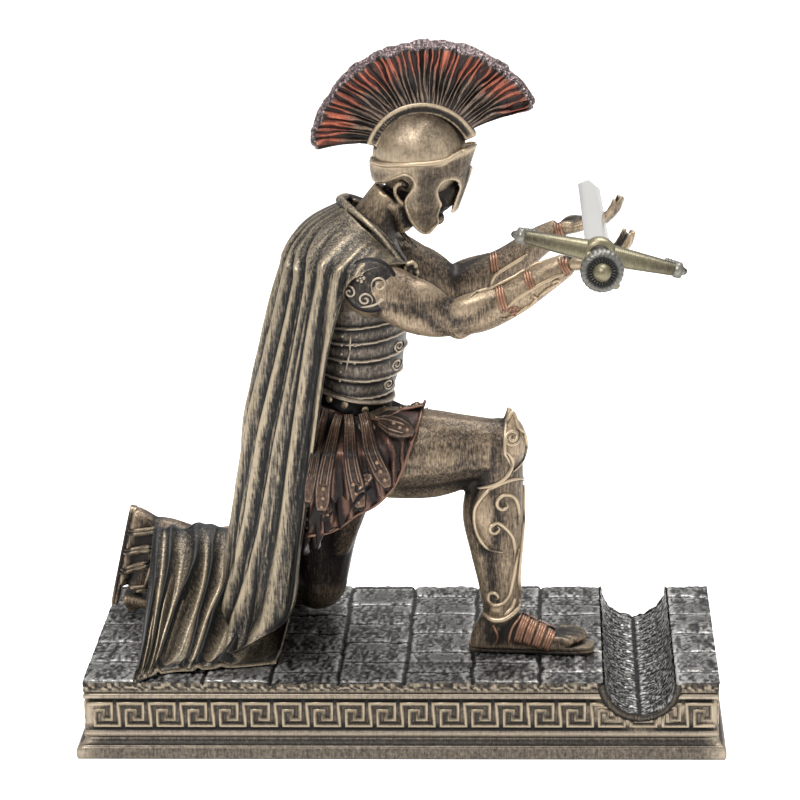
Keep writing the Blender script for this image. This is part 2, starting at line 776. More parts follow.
def paving():
    """The slab: a rough top, and edges that drop to the shadow gap."""
    spacing = (0.48 if FINE else 0.7) * MM
    left, right = -HALF_W, TROUGH_X - TROUGH_WIDTH / 2 - 0.2 * MM
    made, rims = [], []
    for x0, x1 in ((left, right), (TROUGH_X + TROUGH_WIDTH / 2 + 0.2 * MM, HALF_W)):
        columns = int((x1 - x0) / spacing)
        rows = int(2 * HALF_D / spacing)
        y, x = even_values((-HALF_D, HALF_D), (x0, x1), rows, columns)
        z = SLAB_TOP - np.clip(stone_depth(x, y), 0, 1.6 * MM)
        top = np.stack([x, y, z], -1)
        made.append(lattice("top", top))
        rims.append(slab_border(top))
    return joined("paving", made), joined("slab_rim", rims)


def slab_border(top):
    """The rim of a paving lattice, carried down its sides to the slab's underside."""
    ring = np.concatenate([top[0], top[1:, -1], top[-1, -2::-1], top[-2:0:-1, 0]])
    centre = ring.mean(0)
    rows = []
    for k in range(7):
        t = k / 6
        row = ring.copy()
        out = np.sign(row[:, :2] - centre[:2])
        round_it = ring[:, 0] / (0.9 * MM) + ring[:, 1] / (0.7 * MM)
        rough = 0.28 * MM * value_noise(round_it, t * 4.0, 21)
        bulge = (0.05 * MM + rough) * math.sin(math.pi * min(1.0, t + 0.1))
        for axis, half in ((0, HALF_W), (1, HALF_D)):
            outside = np.abs(row[:, axis]) > half - 0.1 * MM
            row[:, axis] += np.where(outside, out[:, axis] * (bulge - 0.3 * MM), 0)
        row[:, 2] = ring[:, 2] * (1 - t) + SLAB_BOTTOM * t
        rows.append(row)
    return lattice("rim", np.array(rows), wrap=True)


# %%
def trough():
    """The pen trough: arched courses of stone in a half round, with a joint along it."""
    radius = trough_radius()
    axis_z = SLAB_TOP - TROUGH_DEPTH + radius
    spread = math.asin(min(1.0, TROUGH_WIDTH / 2 / radius))
    if TROUGH_DEPTH > radius:
        spread = math.pi - spread
    rows, columns = 200, 70
    y, a = even_values((-HALF_D, HALF_D), (-spread, spread), rows, columns)
    course = y / TROUGH_COURSE + 0.5 * (a > 0) + 0.12 * np.abs(a)
    to_course = np.abs(course - np.round(course)) * TROUGH_COURSE
    to_middle = np.abs(a) * radius
    nearest = np.minimum(to_course, to_middle)
    rough = 0.25 * MM * value_noise(a * 9, y / (0.8 * MM), 31)
    rough = rough + 0.15 * MM * value_noise(a * 22, y / (0.5 * MM), 33)
    depth = 0.7 * MM * np.exp(-((nearest / (0.6 * MM)) ** 2)) + rough
    inner = radius - 0.35 * MM + depth
    top = np.stack([TROUGH_X + inner * np.sin(a), y, axis_z - inner * np.cos(a)], -1)
    outer_radius = radius + TROUGH_LINING
    outer_spread = math.acos(min(1.0, (axis_z - (SLAB_TOP - 1.5 * MM)) / outer_radius))
    b = np.linspace(-outer_spread, outer_spread, columns)
    outer_x = TROUGH_X + outer_radius * np.sin(b)
    outer = np.stack([outer_x, np.zeros(columns), axis_z - outer_radius * np.cos(b)], -1)
    ends = []
    for row, y_end in ((0, -HALF_D - 0.2 * MM), (-1, HALF_D + 0.2 * MM)):
        edge = outer.copy()
        edge[:, 1] = y_end
        back = outer.copy()
        back[:, 1] = y_end * 0.9
        inside = top[row].copy()
        inside[:, 1] = y_end
        ends.append(lattice("end", np.array([top[row], inside, 0.5 * (inside + edge), edge, back])))
    return lattice("trough", top), joined("trough_ends", ends)


# %%
dress(mouldings(), FRIEZE, "plinth", reach=(2.0, 3.6), strength=1.2, base=0.12)
dress(frieze(), KEY, "plinth", reach=(0.8, 1.4), base=0.2)
PAVED, SLAB_RIM = paving()
dress(PAVED, STONE, "plinth", reach=(1.0, 2.2, 4.5), strength=1.2)
dress(SLAB_RIM, EDGE, "plinth", reach=(0.5, 1.1), base=0.05)
LINING, TROUGH_ENDS = trough()
dress(LINING, STONE, "plinth", reach=(0.5, 1.1, 2.2), strength=1.2, base=-0.2)
dress(TROUGH_ENDS, EDGE, "plinth", reach=(0.5, 1.1), base=0.25)


# %% [markdown]
# ## The body
#
# The bare arms, the raised leg and the hands show muscle and bone under a smooth skin.
# They could be one sculpted mesh. Here each muscle is a round limb or an ellipsoid in the
# packed figure's pose, and all of them run together into one clay skin, so that a single
# form can be moved without tearing the rest.

# %%
def arm_forms(side, out, elbow_x, wrist_x, lower):
    y = 22 * out
    hand_y = 25.5 * out
    half = 0.5 * lower
    return [
        ball(f"deltoid_{side}", (-7.0, 21.0 * out, 103.6 - half), (8.8, 7.0, 7.6), 20),
        ball(f"deltoid_front_{side}", (-2.4, 21.8 * out, 103.0 - half), (7.4, 6.0, 5.6), 24),
        limb(
            f"upper_arm_{side}", (-7, y, 105.4, 7.2), (1, y, 102.2 - half, 6.5),
            (8, y, 98.7 - 0.8 * lower, 5.5),
            (elbow_x, y, 95.5 - lower, 4.8), (elbow_x + 1.5, y, 94.8 - lower, 4.2),
        ),
        limb(
            f"biceps_{side}", (-1.5, y + 1.2 * out, 104.4 - half, 3.6),
            (5.0, y + 1.3 * out, 102.6 - lower, 4.6),
            (10, y + 0.8 * out, 100.6 - lower, 3.6), (13.5, y, 98.6 - lower, 2.2),
        ),
        limb(
            f"triceps_{side}", (-3, y + 1.6 * out, 100.6 - half, 4.6),
            (4, y + 1.8 * out, 96.8 - 0.8 * lower, 4.6),
            (9.5, y + 1.2 * out, 94.0 - lower, 3.2), (13.5, y, 92.6 - lower, 2.0),
        ),
        limb(
            f"forearm_{side}", (elbow_x, y, 95.8 - lower, 4.6),
            (elbow_x + 7, y + 0.6 * out, 97.6 - lower, 5.4),
            (elbow_x + 16, y + 1.8 * out, 102.2 - lower, 5.0),
            (wrist_x - 5, hand_y - 0.4 * out, 107.8 - lower, 4.2),
            (wrist_x + 1, hand_y, 111.4 - lower, 3.2),
        ),
        limb(
            f"brachial_{side}", (elbow_x - 3, y + 1.6 * out, 97.2 - lower, 2.6),
            (elbow_x + 4, y + 2.8 * out, 99.6 - lower, 3.6),
            (elbow_x + 12, y + 3.0 * out, 102.6 - lower, 2.6),
        ),
        ball(f"elbow_{side}", (elbow_x + 1.6, y + 0.5 * out, 92.8 - lower), (3.2, 3.2, 2.6), -25),
    ]


# %%
def hand_forms(side, wrist_x, y, out, lower):
    """An open palm turned up; each finger has three bones and curls at its end."""
    z = -lower
    forms = [
        ball(f"palm_{side}", (wrist_x + 6.4, y, 112.8 + z), (6.4, 4.7, 2.0), -20),
        ball(f"heel_{side}", (wrist_x + 2.4, y - 2.0 * out, 112.2 + z), (3.0, 2.0, 1.9), -20),
        ball(f"thumb_mound_{side}", (wrist_x + 4.2, y + 3.0 * out, 112.5 + z), (3.4, 2.0, 2.2), -20),
        limb(
            f"thumb_{side}", (wrist_x + 4.0, y + 3.6 * out, 112.4 + z, 1.8),
            (wrist_x + 7.0, y + 4.8 * out, 112.4 + z, 1.35),
            (wrist_x + 9.5, y + 5.2 * out, 112.9 + z, 1.45),
            (wrist_x + 12.2, y + 5.2 * out, 113.6 + z, 1.1), sides=10,
        ),
    ]
    for finger in range(4):
        fy = y + (3.0 - 2.05 * finger) * out
        reach = (0.2, 1.0, 0.6, -1.2)[finger] + wrist_x
        forms.append(
            limb(
                f"finger_{side}_{finger}", (wrist_x + 9.5, fy, 113.0 + z, 1.3),
                (reach + 12.2, fy, 113.7 + z, 1.22),
                (reach + 13.6, fy, 114.5 + z, 1.25), (reach + 15.2, fy, 115.8 + z, 1.0),
                (reach + 16.2, fy, 117.2 + z, 1.08), (reach + 17.0, fy, 119.0 + z, 0.9),
                (reach + 17.5, fy, 120.6 + z, 0.75), sides=10,
            )
        )
    return forms


# %%
def leg_forms():
    near, far = -14.5, 20.0
    return [
        limb(
            "thigh_near", (-10, -10, 56.4, 11.4), (0, -13, 56.8, 11.8), (9, near, 57.4, 10.9),
            (18, near, 57.6, 9.2), (24.5, near, 57.4, 8.4),
        ),
        limb(
            "vastus_near", (2, -18.6, 57.4, 6.0), (10, -19.6, 57.4, 6.0), (18, -19.0, 58.2, 4.4),
            (22, -18.4, 58.6, 2.8),
        ),
        limb("rectus_near", (-4, near, 62.6, 6.2), (8, near, 62.6, 5.6), (19, near, 61.6, 3.8)),
        limb(
            "hamstring_near", (-4, near, 50.4, 6.8), (8, near, 49.8, 6.2), (18, near, 50.8, 4.4),
            (22, near + 0.5, 49.6, 2.8),
        ),
        limb("tendon_near", (10, -19.4, 51.4, 3.0), (18, -19.6, 52.6, 2.2), (23, -19.0, 52.0, 1.8)),
        ball("knee_near", (26.0, near, 57.8), (6.8, 7.4, 8.2), 10),
        limb(
            "shin_near", (25.8, near, 56, 7.6), (26.6, near, 48, 6.8), (26.8, near, 38, 6.5),
            (27.6, near, 27, 5.3), (27.8, near, 17, 4.7), (26.8, near, 10, 5.0), (26.0, near, 5, 4.6),
        ),
        limb(
            "calf_near", (22.4, near, 48, 4.4), (21.7, near, 39, 5.2), (22.7, near, 29, 4.2),
            (24.2, near, 20, 3.6), (25.0, near, 13, 3.2),
        ),
        limb("calf_side_near", (23.6, -18.6, 47, 2.6), (23.0, -19.4, 40, 3.4), (24.0, -18.0, 31, 2.2)),
        limb(
            "thigh_far", (-15, 11, 57, 12.4), (-19.4, 15, 42, 11.6), (-23.8, 19, 25, 10.0),
            (-25.8, far, 11, 8.8),
        ),
        limb("vastus_far", (-14, 10, 46, 7.0), (-17.5, 12.5, 32, 6.2), (-20.5, 14.8, 20, 4.4)),
        ball("knee_far", (-25.8, far, 9.6), (8.6, 8.8, 9.2)),
        ball("kneecap_far", (-20.6, far, 10.4), (3.2, 4.6, 4.6)),
        limb(
            "shin_far", (-28, far, 9, 8.2), (-38, far, 13, 8.0), (-50, far, 17, 6.6), (-62, far, 19.5, 5.0),
            (-70, far, 21, 4.8),
        ),
        limb("calf_far", (-34, far, 18.0, 5.6), (-43, far, 19.4, 5.8), (-54, far, 19.8, 4.8)),
    ]


# %%
NEAR_FOOT = 33.4
FAR_FOOT = 28.5
FOOT_STATIONS = (
    # along the foot, half width, height of the top
    (0.0, 2.4, 4.0), (1.4, 3.5, 7.5), (4.0, 4.0, 12.5), (9.0, 4.1, 13.3), (13.0, 4.3, 10.8),
    (18.0, 4.7, 8.0), (22.5, 5.1, 5.7), (25.5, 5.0, 3.8), (27.0, 4.4, 2.6),
)


def near_foot_place():
    return Matrix.Translation((18.6, -14.5, 0.0)) @ Matrix.Rotation(math.radians(-2), 4, "Z")


def far_foot_place():
    heel, toe_joint = Vector((-79.0, 20, 30.6)), Vector((-85.0, 20, 3.2))
    along = (toe_joint - heel).normalized()
    across = Vector((0, 1, 0))
    up = along.cross(across)
    return Matrix((
        (along.x, across.x, up.x, heel.x), (along.y, across.y, up.y, heel.y),
        (along.z, across.z, up.z, heel.z), (0, 0, 0, 1),
    ))


def foot_forms(name, place, length):
    """A foot through its stations, with ankles, and toes where they show."""
    rings = []
    for along, half, top in FOOT_STATIONS:
        ring = []
        for i in range(20):
            a = 2 * math.pi * i / 20
            across = half * math.copysign(abs(math.cos(a)) ** 0.8, math.cos(a))
            up = 1.2 + (top - 1.2) * max(0.0, math.sin(a)) ** 0.85
            ring.append(at(*(place @ Vector((along * length / NEAR_FOOT, across, up)))))
        rings.append(ring)
    forms = [closed_loft(f"{name}_upper", rings)]
    for side in (-1, 1):
        forms.append(ball(f"{name}_ankle_{side}", place @ Vector((7.4, 3.6 * side, 12.6)), (2.0, 1.6, 2.0)))
    if name == "foot_near":
        for toe in range(5):
            across = 4.2 - 2.05 * toe
            reach = (31.4, 32.4, 31.6, 30.2, 28.4)[toe]
            radius = (1.7, 1.1, 1.05, 1.0, 0.95)[toe]
            spots = [
                (reach - 7, across * 0.9, 4.2, radius), (reach - 3.6, across, 4.3, radius * 0.85),
                (reach - 1.4, across, 3.5, radius), (reach, across, 2.9, radius * 0.85),
            ]
            forms.append(limb(f"toe_{toe}", *[(*(place @ Vector(s[:3])), s[3]) for s in spots], sides=10))
    return forms


SOLE_STEPS = (
    # height, and how far the edge stands out there: two layers with a groove between
    (0.0, -0.25), (0.25, 0.0), (0.8, 0.0), (0.95, -0.18), (1.1, 0.0), (1.7, 0.0), (1.95, -0.25),
)


def sole_outline(length):
    """Points round a sole, wider at the toes than at the heel."""
    outline = []
    for i in range(40):
        a = 2 * math.pi * i / 40
        share = (1 - math.cos(a)) / 2
        half = 3.8 + 2.1 * share - 0.7 * math.sin(math.pi * share) ** 2
        across = half * math.copysign(abs(math.sin(a)) ** 0.5, math.sin(a))
        outline.append((share * (length + 1.2) - 0.6, across))
    return outline


def sole(name, place, length):
    rings = []
    outline = sole_outline(length)
    for up, grow in SOLE_STEPS:
        rings.append([at(*(place @ Vector((x, y * (1 + grow / 5), up)))) for x, y in outline])
    return closed_loft(name, rings)


def cop_forms():
    return [
        ball("cop", (29.2, -14.5, 58.4), (5.0, 7.4, 8.0), 8),
        limb(
            "cop_leaf", (30.2, -16, 61, 3.6), (30.0, -16, 65, 2.4), (29.6, -16, 68.6, 1.0),
            (29.4, -16, 69.6, 0.5),
        ),
    ]


# %%
def face_forms():
    """A plain classical head, mostly hidden by the helmet."""
    forms = [
        ball("skull", (4.4, 0, 133.2), (9.6, 7.8, 9.8), 12),
        ball("face", (7.4, 0, 126.0), (5.2, 4.6, 8.6), 14),
        ball("mid_face", (11.9, 0, 125.9), (3.9, 3.7, 5.0), 10),
        limb("jaw", (2.6, 0, 121.6, 4.8), (6.4, 0, 118.6, 3.2)),
        limb("brow", (11.4, -3.4, 131.2, 1.5), (13.4, 0, 131.0, 1.6), (11.4, 3.4, 131.2, 1.5)),
        limb(
            "nose", (13.6, 0, 130.6, 1.6), (14.6, 0, 127.4, 1.6), (15.0, 0, 125.4, 1.6),
            (13.6, 0, 123.0, 1.6),
        ),
        limb("lips", (11.2, -1.9, 121.8, 0.7), (12.4, 0, 121.6, 0.9), (11.2, 1.9, 121.8, 0.7)),
        ball("chin", (10.0, 0, 118.6), (2.2, 2.4, 2.0)),
    ]
    for out in (-1, 1):
        forms += [
            ball(f"cheekbone_{out}", (9.4, 3.2 * out, 126.2), (2.2, 1.6, 2.2)),
            ball(f"eye_{out}", (11.9, 2.8 * out, 128.7), (1.3, 1.4, 1.2)),
            limb(
                f"ear_{out}", (2.2, 7.2 * out, 128.8, 0.8), (0.6, 8.0 * out, 130.0, 0.8),
                (-0.9, 8.0 * out, 128.6, 0.8),
                (-0.5, 7.8 * out, 126.0, 0.75), (0.9, 7.4 * out, 124.2, 0.8), sides=8,
            ),
            limb(
                f"jawline_{out}", (1.2, 5.6 * out, 125, 2.4), (4.4, 4.6 * out, 119.8, 2.2),
                (8.6, 2.4 * out, 117.8, 1.8),
            ),
        ]
    return forms


def body():
    forms = [
        limb("neck", (-10, 0, 112, 7.6), (-6.5, 0, 118, 6.8), (-1.5, 0, 125, 6.4)),
        limb("sterno_near", (1.5, -3.2, 116, 2.0), (-1.5, -5.8, 124, 2.0)),
        limb("sterno_far", (1.5, 3.2, 116, 2.0), (-1.5, 5.8, 124, 2.0)),
        ball("shoulders", (-10.5, 0, 106), (10.5, 20, 10.5)),
        limb("far_toes", (-79.5, 16, 3.0, 2.4), (-78.0, 20, 3.0, 2.6), (-79.5, 24, 3.0, 2.4)),
        limb("instep_far", (-69, 20, 22, 5.8), (-74, 20, 15, 5.4), (-77.5, 20, 7, 4.4)),
        limb("ankle_far", (-60, 20, 18.6, 5.6), (-68, 20, 22, 5.2), (-72, 20, 23.5, 4.4)),
    ]
    for side, out, elbow_x, wrist_x, lower in (("near", -1, 15.2, 44.5, 0.0), ("far", 1, 13.4, 42.5, 1.5)):
        forms += arm_forms(side, out, elbow_x, wrist_x, lower)
        forms += hand_forms(side, wrist_x, 25.5 * out, out, lower)
    forms += leg_forms() + cop_forms() + face_forms()
    forms += foot_forms("foot_near", near_foot_place(), NEAR_FOOT)
    forms += foot_forms("foot_far", far_foot_place(), FAR_FOOT)
    for toe in range(5):
        y = 24.2 - 2.05 * toe
        forms.append(limb(
            f"toe_far_{toe}", (-81.5, y, 4.4, 1.7), (-77, y, 3.4, 1.6), (-72.5, y, 1.9, 1.4), sides=10,
        ))
    return clay("body", forms, 0.66 * MM, 3)


# %%
def shade(target, zones):
    """Darkens the patina inside boxes of (low x, high x, low y, high y, low z, high z, amount)."""
    places = (coordinates(target) - np.array([0, 0, STANCE])) / STEP
    wear = np.empty(len(places))
    attribute = target.data.attributes["wear"]
    attribute.data.foreach_get("value", wear)
    for *box, amount in zones:
        low, high = np.array(box[::2]), np.array(box[1::2])
        inside = ((places > low) & (places < high)).all(1)
        wear[inside] = np.maximum(wear[inside] - amount, -1)
    attribute.data.foreach_set("value", wear.astype(np.float32))


SHADED = (
    (1.0, 20, -10, 10, 117, 140, 0.75),  # the face, in the helmet's shade
    (14, 52, -24, -6, 0, 10, 0.5),  # the near foot, in its sandal
    (-10, 70, 8, 40, 85, 130, 0.3),  # the far arm
    (-90, -56, 10, 30, 0, 34, 0.5),  # the far foot
    (-40, -4, -4, 32, 0, 50, 0.35),  # the kneeling leg, under the skirt
)
BODY = body()
dress(BODY, SKIN, reach=(1.5, 4.0, 8.0), strength=0.75, base=-0.05)
shade(BODY, SHADED)
dress(sole("sole_near", near_foot_place(), NEAR_FOOT), SOLE)
dress(sole("sole_far", far_foot_place(), FAR_FOOT), SOLE)

# %% [markdown]
# ## The cloak
#
# Heavy cloth falls from the brooch in ridges that fan out over the back, and its end
# trails over the kneeling calf. A cloth simulation would not stop in the photograph's
# folds, so rings give the fall its outline and `fold_wave` its ridges. The same wave,
# finer, gives the folds between. The trailing end is a second sheet with its own ridges.

# %%
CLOAK_RINGS = (
    # middle x, half depth, half width, height, near turn, far turn, drop to the near edge
    (-4.5, 11.5, 14.5, 123.5, 118, 112, 16.0),
    (-6.0, 18.4, 20.4, 119.2, 120, 112, 9.4),
    (-8.0, 22.0, 26.4, 113.8, 103, 104, 2.6),
    (-9.0, 23.6, 28.8, 109.6, 90, 95, 0.0),
    (-9.5, 24.8, 29.4, 105.0, 80, 86, 0.0),
    (-12.0, 26.6, 29.5, 88.0, 75, 80, 0.0),
    (-16.0, 28.5, 29.0, 62.0, 76, 82, 0.0),
    (-20.5, 28.0, 29.0, 34.0, 76, 80, 0.0),
    (-24.0, 27.4, 31.0, 15.0, 77, 84, 0.0),
    (-27.0, 26.0, 33.5, 7.0, 60, 86, 0.0),
    (-29.0, 25.0, 40.0, 2.6, 42, 80, 0.0),
    (-31.0, 24.5, 42.0, 0.6, 34, 76, 0.0),
)
FOLD_PITCH = 15.5
FOLD_DEPTH = 3.4
CLOTH_THICKNESS = 1.6


def cloak_ring(down):
    """The cloak's ring at a share of the way down, run smoothly through the stations."""
    rings = np.array(CLOAK_RINGS, float)
    place = np.clip(down, 0, 1) * (len(rings) - 1)
    i = np.minimum(place.astype(int), len(rings) - 2)
    t = (place - i)[..., None]
    a, b = rings[np.maximum(i - 1, 0)], rings[i]
    c, d = rings[i + 1], rings[np.minimum(i + 2, len(rings) - 1)]
    blend = 2 * b + (c - a) * t + (2 * a - 5 * b + 4 * c - d) * t ** 2 + (3 * b - a - 3 * c + d) * t ** 3
    return np.moveaxis(0.5 * blend, -1, 0)


def ridge(phase, sharp=1.6):
    """A wave from -1 to 0 with narrow ridges at 0 and wide hollows."""
    return (0.5 + 0.5 * np.cos(phase)) ** sharp - 1


def fold_wave(turn, down):
    """The depth of the folds under their ridges at a turn in degrees from the back."""
    drift = 4.6 * np.sin(2.1 * down * math.pi + turn * 0.03) + 8.5 * value_noise(turn / 36, down * 2.4, 41)
    phase = 2 * math.pi * (turn + drift) / FOLD_PITCH
    main = ridge(phase) * (0.68 + 0.32 * value_noise(turn / 19, down * 3.0, 43))
    fine = ridge(2.17 * phase + 4 * down, 1.2) * 0.3 * (0.5 + 0.5 * value_noise(turn / 13, down * 6.0, 45))
    crease = 0.16 * value_noise(turn / 3.1, down * 9.0, 47) + 0.07 * value_noise(turn / 1.3, down * 16.0, 49)
    return main + fine + crease


def cloak_shape(across, down, inset=0.0):
    cx, rx, ry, z, near, far, drop = cloak_ring(down)
    turn = across * np.where(across < 0, near, far)
    depth = FOLD_DEPTH * np.clip(0.12 + 1.5 * down, 0, 1)
    edge = np.clip((1 - np.abs(across)) / 0.05, 0, 1)
    ripple = fold_wave(turn, down) * depth * (0.35 + 0.65 * edge) - inset
    a = np.radians(turn)
    x = cx - (rx + ripple) * np.cos(a)
    y = (ry + ripple) * np.sin(a)
    z = z - drop * np.abs(across) ** 2 - 0.5 * np.clip(inset, 0, 9) * (down < 0.2)
    return all_at(x, y, z)


# %%
def thick_sheet(name, outer, inner):
    """Two lattices as the faces of one cloth, joined round the rim by a rounded edge."""

    def rim(points):
        return np.concatenate([points[0], points[1:, -1], points[-1, -2::-1], points[-2:0:-1, 0]])

    out_rim, in_rim = rim(outer), rim(inner)
    middle = 0.5 * (out_rim + in_rim)
    centre = np.concatenate([out_rim, in_rim]).mean(0)
    bulge = middle + 0.25 * (middle - centre) / np.linalg.norm(middle - centre, axis=1)[:, None] * 0.8 * MM
    edge = lattice(f"{name}_edge", np.array([out_rim, bulge, in_rim]), wrap=True)
    pieces = [lattice(f"{name}_out", outer), lattice(f"{name}_in", inner[:, ::-1]), edge]
    return welded(joined(name, pieces))


def cloak_fall():
    rows, columns = (185, 190) if FINE else (150, 150)
    down, across = even_values((0, 1), (-1, 1), rows, columns)
    outer = cloak_shape(across, down)
    inner = cloak_shape(across, down, CLOTH_THICKNESS)
    return thick_sheet("cloak_fall", outer, inner)


# %%
TAIL_RIDGES = (
    # place along the tail, width, height over the hollows, sway
    (0.02, 0.07, 4.4, 0.02), (0.2, 0.05, 4.6, 0.06), (0.37, 0.045, 5.4, -0.05), (0.52, 0.035, 3.6, 0.05),
    (0.67, 0.05, 6.0, 0.03), (0.83, 0.035, 4.6, -0.03), (0.95, 0.04, 3.2, 0.02),
)


def tail_height(share, along):
    """The trailing cloak's height, from 0, near hem, over the calf to 1, far hem."""
    crown = 0.68
    top = 25.2 + 1.6 * along
    near = (np.clip(share, 0, crown) / crown) ** 1.35
    beyond = np.clip((share - crown) / (1 - crown), 0, 1)
    rise = np.where(share < crown, near, np.cos(beyond * math.pi / 2) ** 0.7)
    place = along + 0.05 * value_noise(share * 4, along * 3, 51)
    fold = -3.2 + 0 * share
    for k, (middle, width, height, sway) in enumerate(TAIL_RIDGES):
        line = middle + sway * np.sin(4.2 * share + 1.7 * k)
        wide = width * (0.8 + 0.5 * share)
        fold = fold + height * np.exp(-(((place - line) / wide) ** 2))
    crease = 0.4 * value_noise(along * 22, share * 6, 55) + 0.18 * value_noise(along * 60, share * 11, 57)
    roll = 2.2 * np.exp(-(((share - 0.03) / 0.025) ** 2))
    roll = roll * (0.55 + 0.45 * value_noise(along * 7, share * 0, 58))
    fold = (fold + crease) * (1 - 0.4 * np.exp(-(((share - crown) / 0.14) ** 2)))
    height = 1.2 + top * rise + fold * np.sin(math.pi * np.minimum(0.85, share + 0.15)) + roll
    return height, 0.55 * (fold - 1.0) * np.clip(beyond * 2.2, 0, 1)


def cloak_tail():
    rows, columns = (180, 160) if FINE else (120, 100)
    along, share = even_values((0, 1), (0, 1), rows, columns)
    near_hem = -28.5 - 15.0 * along ** 1.3 + 1.3 * value_noise(along * 7, along * 0, 59)
    far_hem = 36.0 - 4.0 * along
    y = near_hem + (far_hem - near_hem) * share
    spread = 0.015 * along + 0.12 * np.sin(math.pi * along)
    x = -30.0 - 41.0 * along - spread * np.maximum(0.0, 20 - y) - 4.5 * (1 - share) ** 3 * (1 - along)
    z, swell = tail_height(share, along)
    z = np.maximum(z, 1.0)
    y = y + swell - 3.5 * np.clip(share - 0.9, 0, 1) * 10

    def placed(lower):
        low = np.maximum(z - lower, 0.15)
        return all_at(x + 0.5 * lower * along, y, low)

    return thick_sheet("cloak_tail", placed(0.0)[:, ::-1], placed(CLOTH_THICKNESS)[:, ::-1])


dress(cloak_fall(), CLOTH, reach=(1.1, 3.4))
dress(cloak_tail(), CLOTH, reach=(1.1, 3.4), base=-0.18)

# %% [markdown]
# ## Cuirass, belt, skirt and pteruges
#
# The cuirass is of plates that overlap downwards over the chest, with a moulded belt
# below it. Under the belt hang a pleated skirt and leather straps with rivets. The torso
# is one lattice that steps out at every plate's edge, which keeps the plates parallel.
# The skirt is a flared ring all round. Its near side is a panel of its own, because there
# it drapes over the hip and the raised thigh.

# %%
def oval(x, y, z, rx, ry, tilt=0.0, points=120):
    """A ring of the torso, in grid steps; tilt lowers its front, in degrees."""
    ring = []
    for i in range(points):
        a = 2 * math.pi * i / points
        dx, dy = rx * math.cos(a), ry * math.sin(a)
        drop = math.sin(math.radians(tilt)) * dx
        ring.append((x + math.cos(math.radians(tilt)) * dx, y + dy, z - drop))
    return ring


CUIRASS = (
    # middle x, height, half depth, half width, tilt
    (-15.5, 59, 11.0, 14.5, 16), (-15.8, 64.0, 10.5, 14.6, 12), (-15.2, 66.0, 10.5, 14.2, 14),
    (-14.6, 72.0, 11.3, 15.0, 12), (-13.2, 79.5, 13.2, 16.3, 6), (-12.5, 87.5, 13.8, 17.8, 0),
    (-11.4, 97, 13.8, 19.4, -4), (-11.0, 105, 12.0, 19.6, -6), (-10.5, 111, 9.4, 15.0, -8),
    (-9.5, 116, 5.5, 7.5, -8),
)
PLATE_EDGES = (72.8, 77.6, 83.2, 88.2, 92.8)
CHEST_LOW = 64.5
CHEST_HIGH = 116


def torso_at(z):
    """The torso's middle x, half depth, half width and tilt at a height."""
    stations = np.array(CUIRASS, float)
    return [np.interp(z, stations[:, 1], stations[:, k]) for k in (0, 2, 3, 4)]


def cuirass():
    """A chest that steps out at each plate's lower edge."""
    rows, columns = (180, 170) if FINE else (150, 150)
    points = np.zeros((rows, columns, 3))
    for r in range(rows):
        z = CHEST_LOW + (CHEST_HIGH - CHEST_LOW) * r / (rows - 1)
        cx, rx, ry, tilt = torso_at(z)
        a = np.arange(columns) * 2 * math.pi / columns
        scallop = 0.9 * np.cos(2 * a)
        step = np.zeros(columns)
        for edge in PLATE_EDGES:
            level = z - edge - scallop * 0.8
            shelf = 0.5 * np.exp(-np.clip(level, 0, None) / 2.6) * (level > 0)
            step += shelf + 0.55 * np.exp(-((level / 0.5) ** 2))
        from_front = np.abs((a + math.pi) % (2 * math.pi) - math.pi)
        breast = 3.4 * np.exp(-(((z - 98) / 6.5) ** 2)) * np.exp(-(((from_front - 0.55) / 0.42) ** 2))
        grow = step + breast
        dx = (rx + grow) * np.cos(a)
        t = math.radians(tilt)
        x, y = cx + dx * math.cos(t), (ry + grow) * np.sin(a)
        points[r] = all_at(x, y, z - dx * math.sin(t))
    return lattice("cuirass", points, wrap=True)


# %%
BELT_PROFILE = (
    # height, and how far it stands out of the torso
    (64.6, 0.4), (64.9, 1.5), (65.6, 1.9), (66.2, 1.3), (71.0, 1.3), (71.6, 1.9), (72.3, 1.5), (72.6, 0.4),
)


def belt():
    rings = []
    for z, out in BELT_PROFILE:
        cx, rx, ry, _ = torso_at(z)
        rings.append([at(*p) for p in oval(cx, 0, z, rx + out, ry + out, 14)])
    return closed_loft("belt", rings)


# %%
def skirt_point(down, turn, swell=0.0):
    """A point of the tunic's skirt: down from 0, belt, to 1, hem, at a turn about it."""
    slant = math.radians(8 + 38 * down)
    cx, cz = -15.4 + 3.8 * down, 62.6 - 16.4 * down
    long_half, wide_half = 11.6 + 12.8 * down ** 1.2 + swell, 15.6 + 12.0 * down ** 0.6 + swell
    wave = 1 + 0.03 * down * math.cos(12 * turn)
    along = long_half * wave * math.copysign(abs(math.cos(turn)) ** 0.75, math.cos(turn))
    aside = wide_half * wave * math.copysign(abs(math.sin(turn)) ** 0.75, math.sin(turn))
    droop = 0.17 * down * max(0.0, aside)
    return Vector((cx + along * math.cos(slant), aside, cz + along * math.sin(slant) - droop))


def skirt():
    rows, columns = (50, 220) if FINE else (36, 150)

    def placed(swell):
        points = np.zeros((rows, columns, 3))
        for r in range(rows):
            down = r / (rows - 1)
            for c in range(columns):
                turn = 2 * math.pi * c / columns
                pleat = 0.9 * down * (math.cos(26 * turn + 2 * math.sin(3 * turn)) - 0.4)
                hem = 1.05 - 0.05 * math.cos(13 * turn + 1.0)
                points[r, c] = at(*skirt_point(down * hem, turn, swell + pleat))
        return points

    outer, inner = placed(0.0), placed(-1.1)
    rim = np.array([outer[-1], 0.5 * (outer[-1] + inner[-1]), inner[-1]])
    sheets = (("outside", outer), ("inside", inner[:, ::-1]), ("rim", rim))
    parts = [lattice(name, points, wrap=True) for name, points in sheets]
    return welded(joined("skirt", parts))


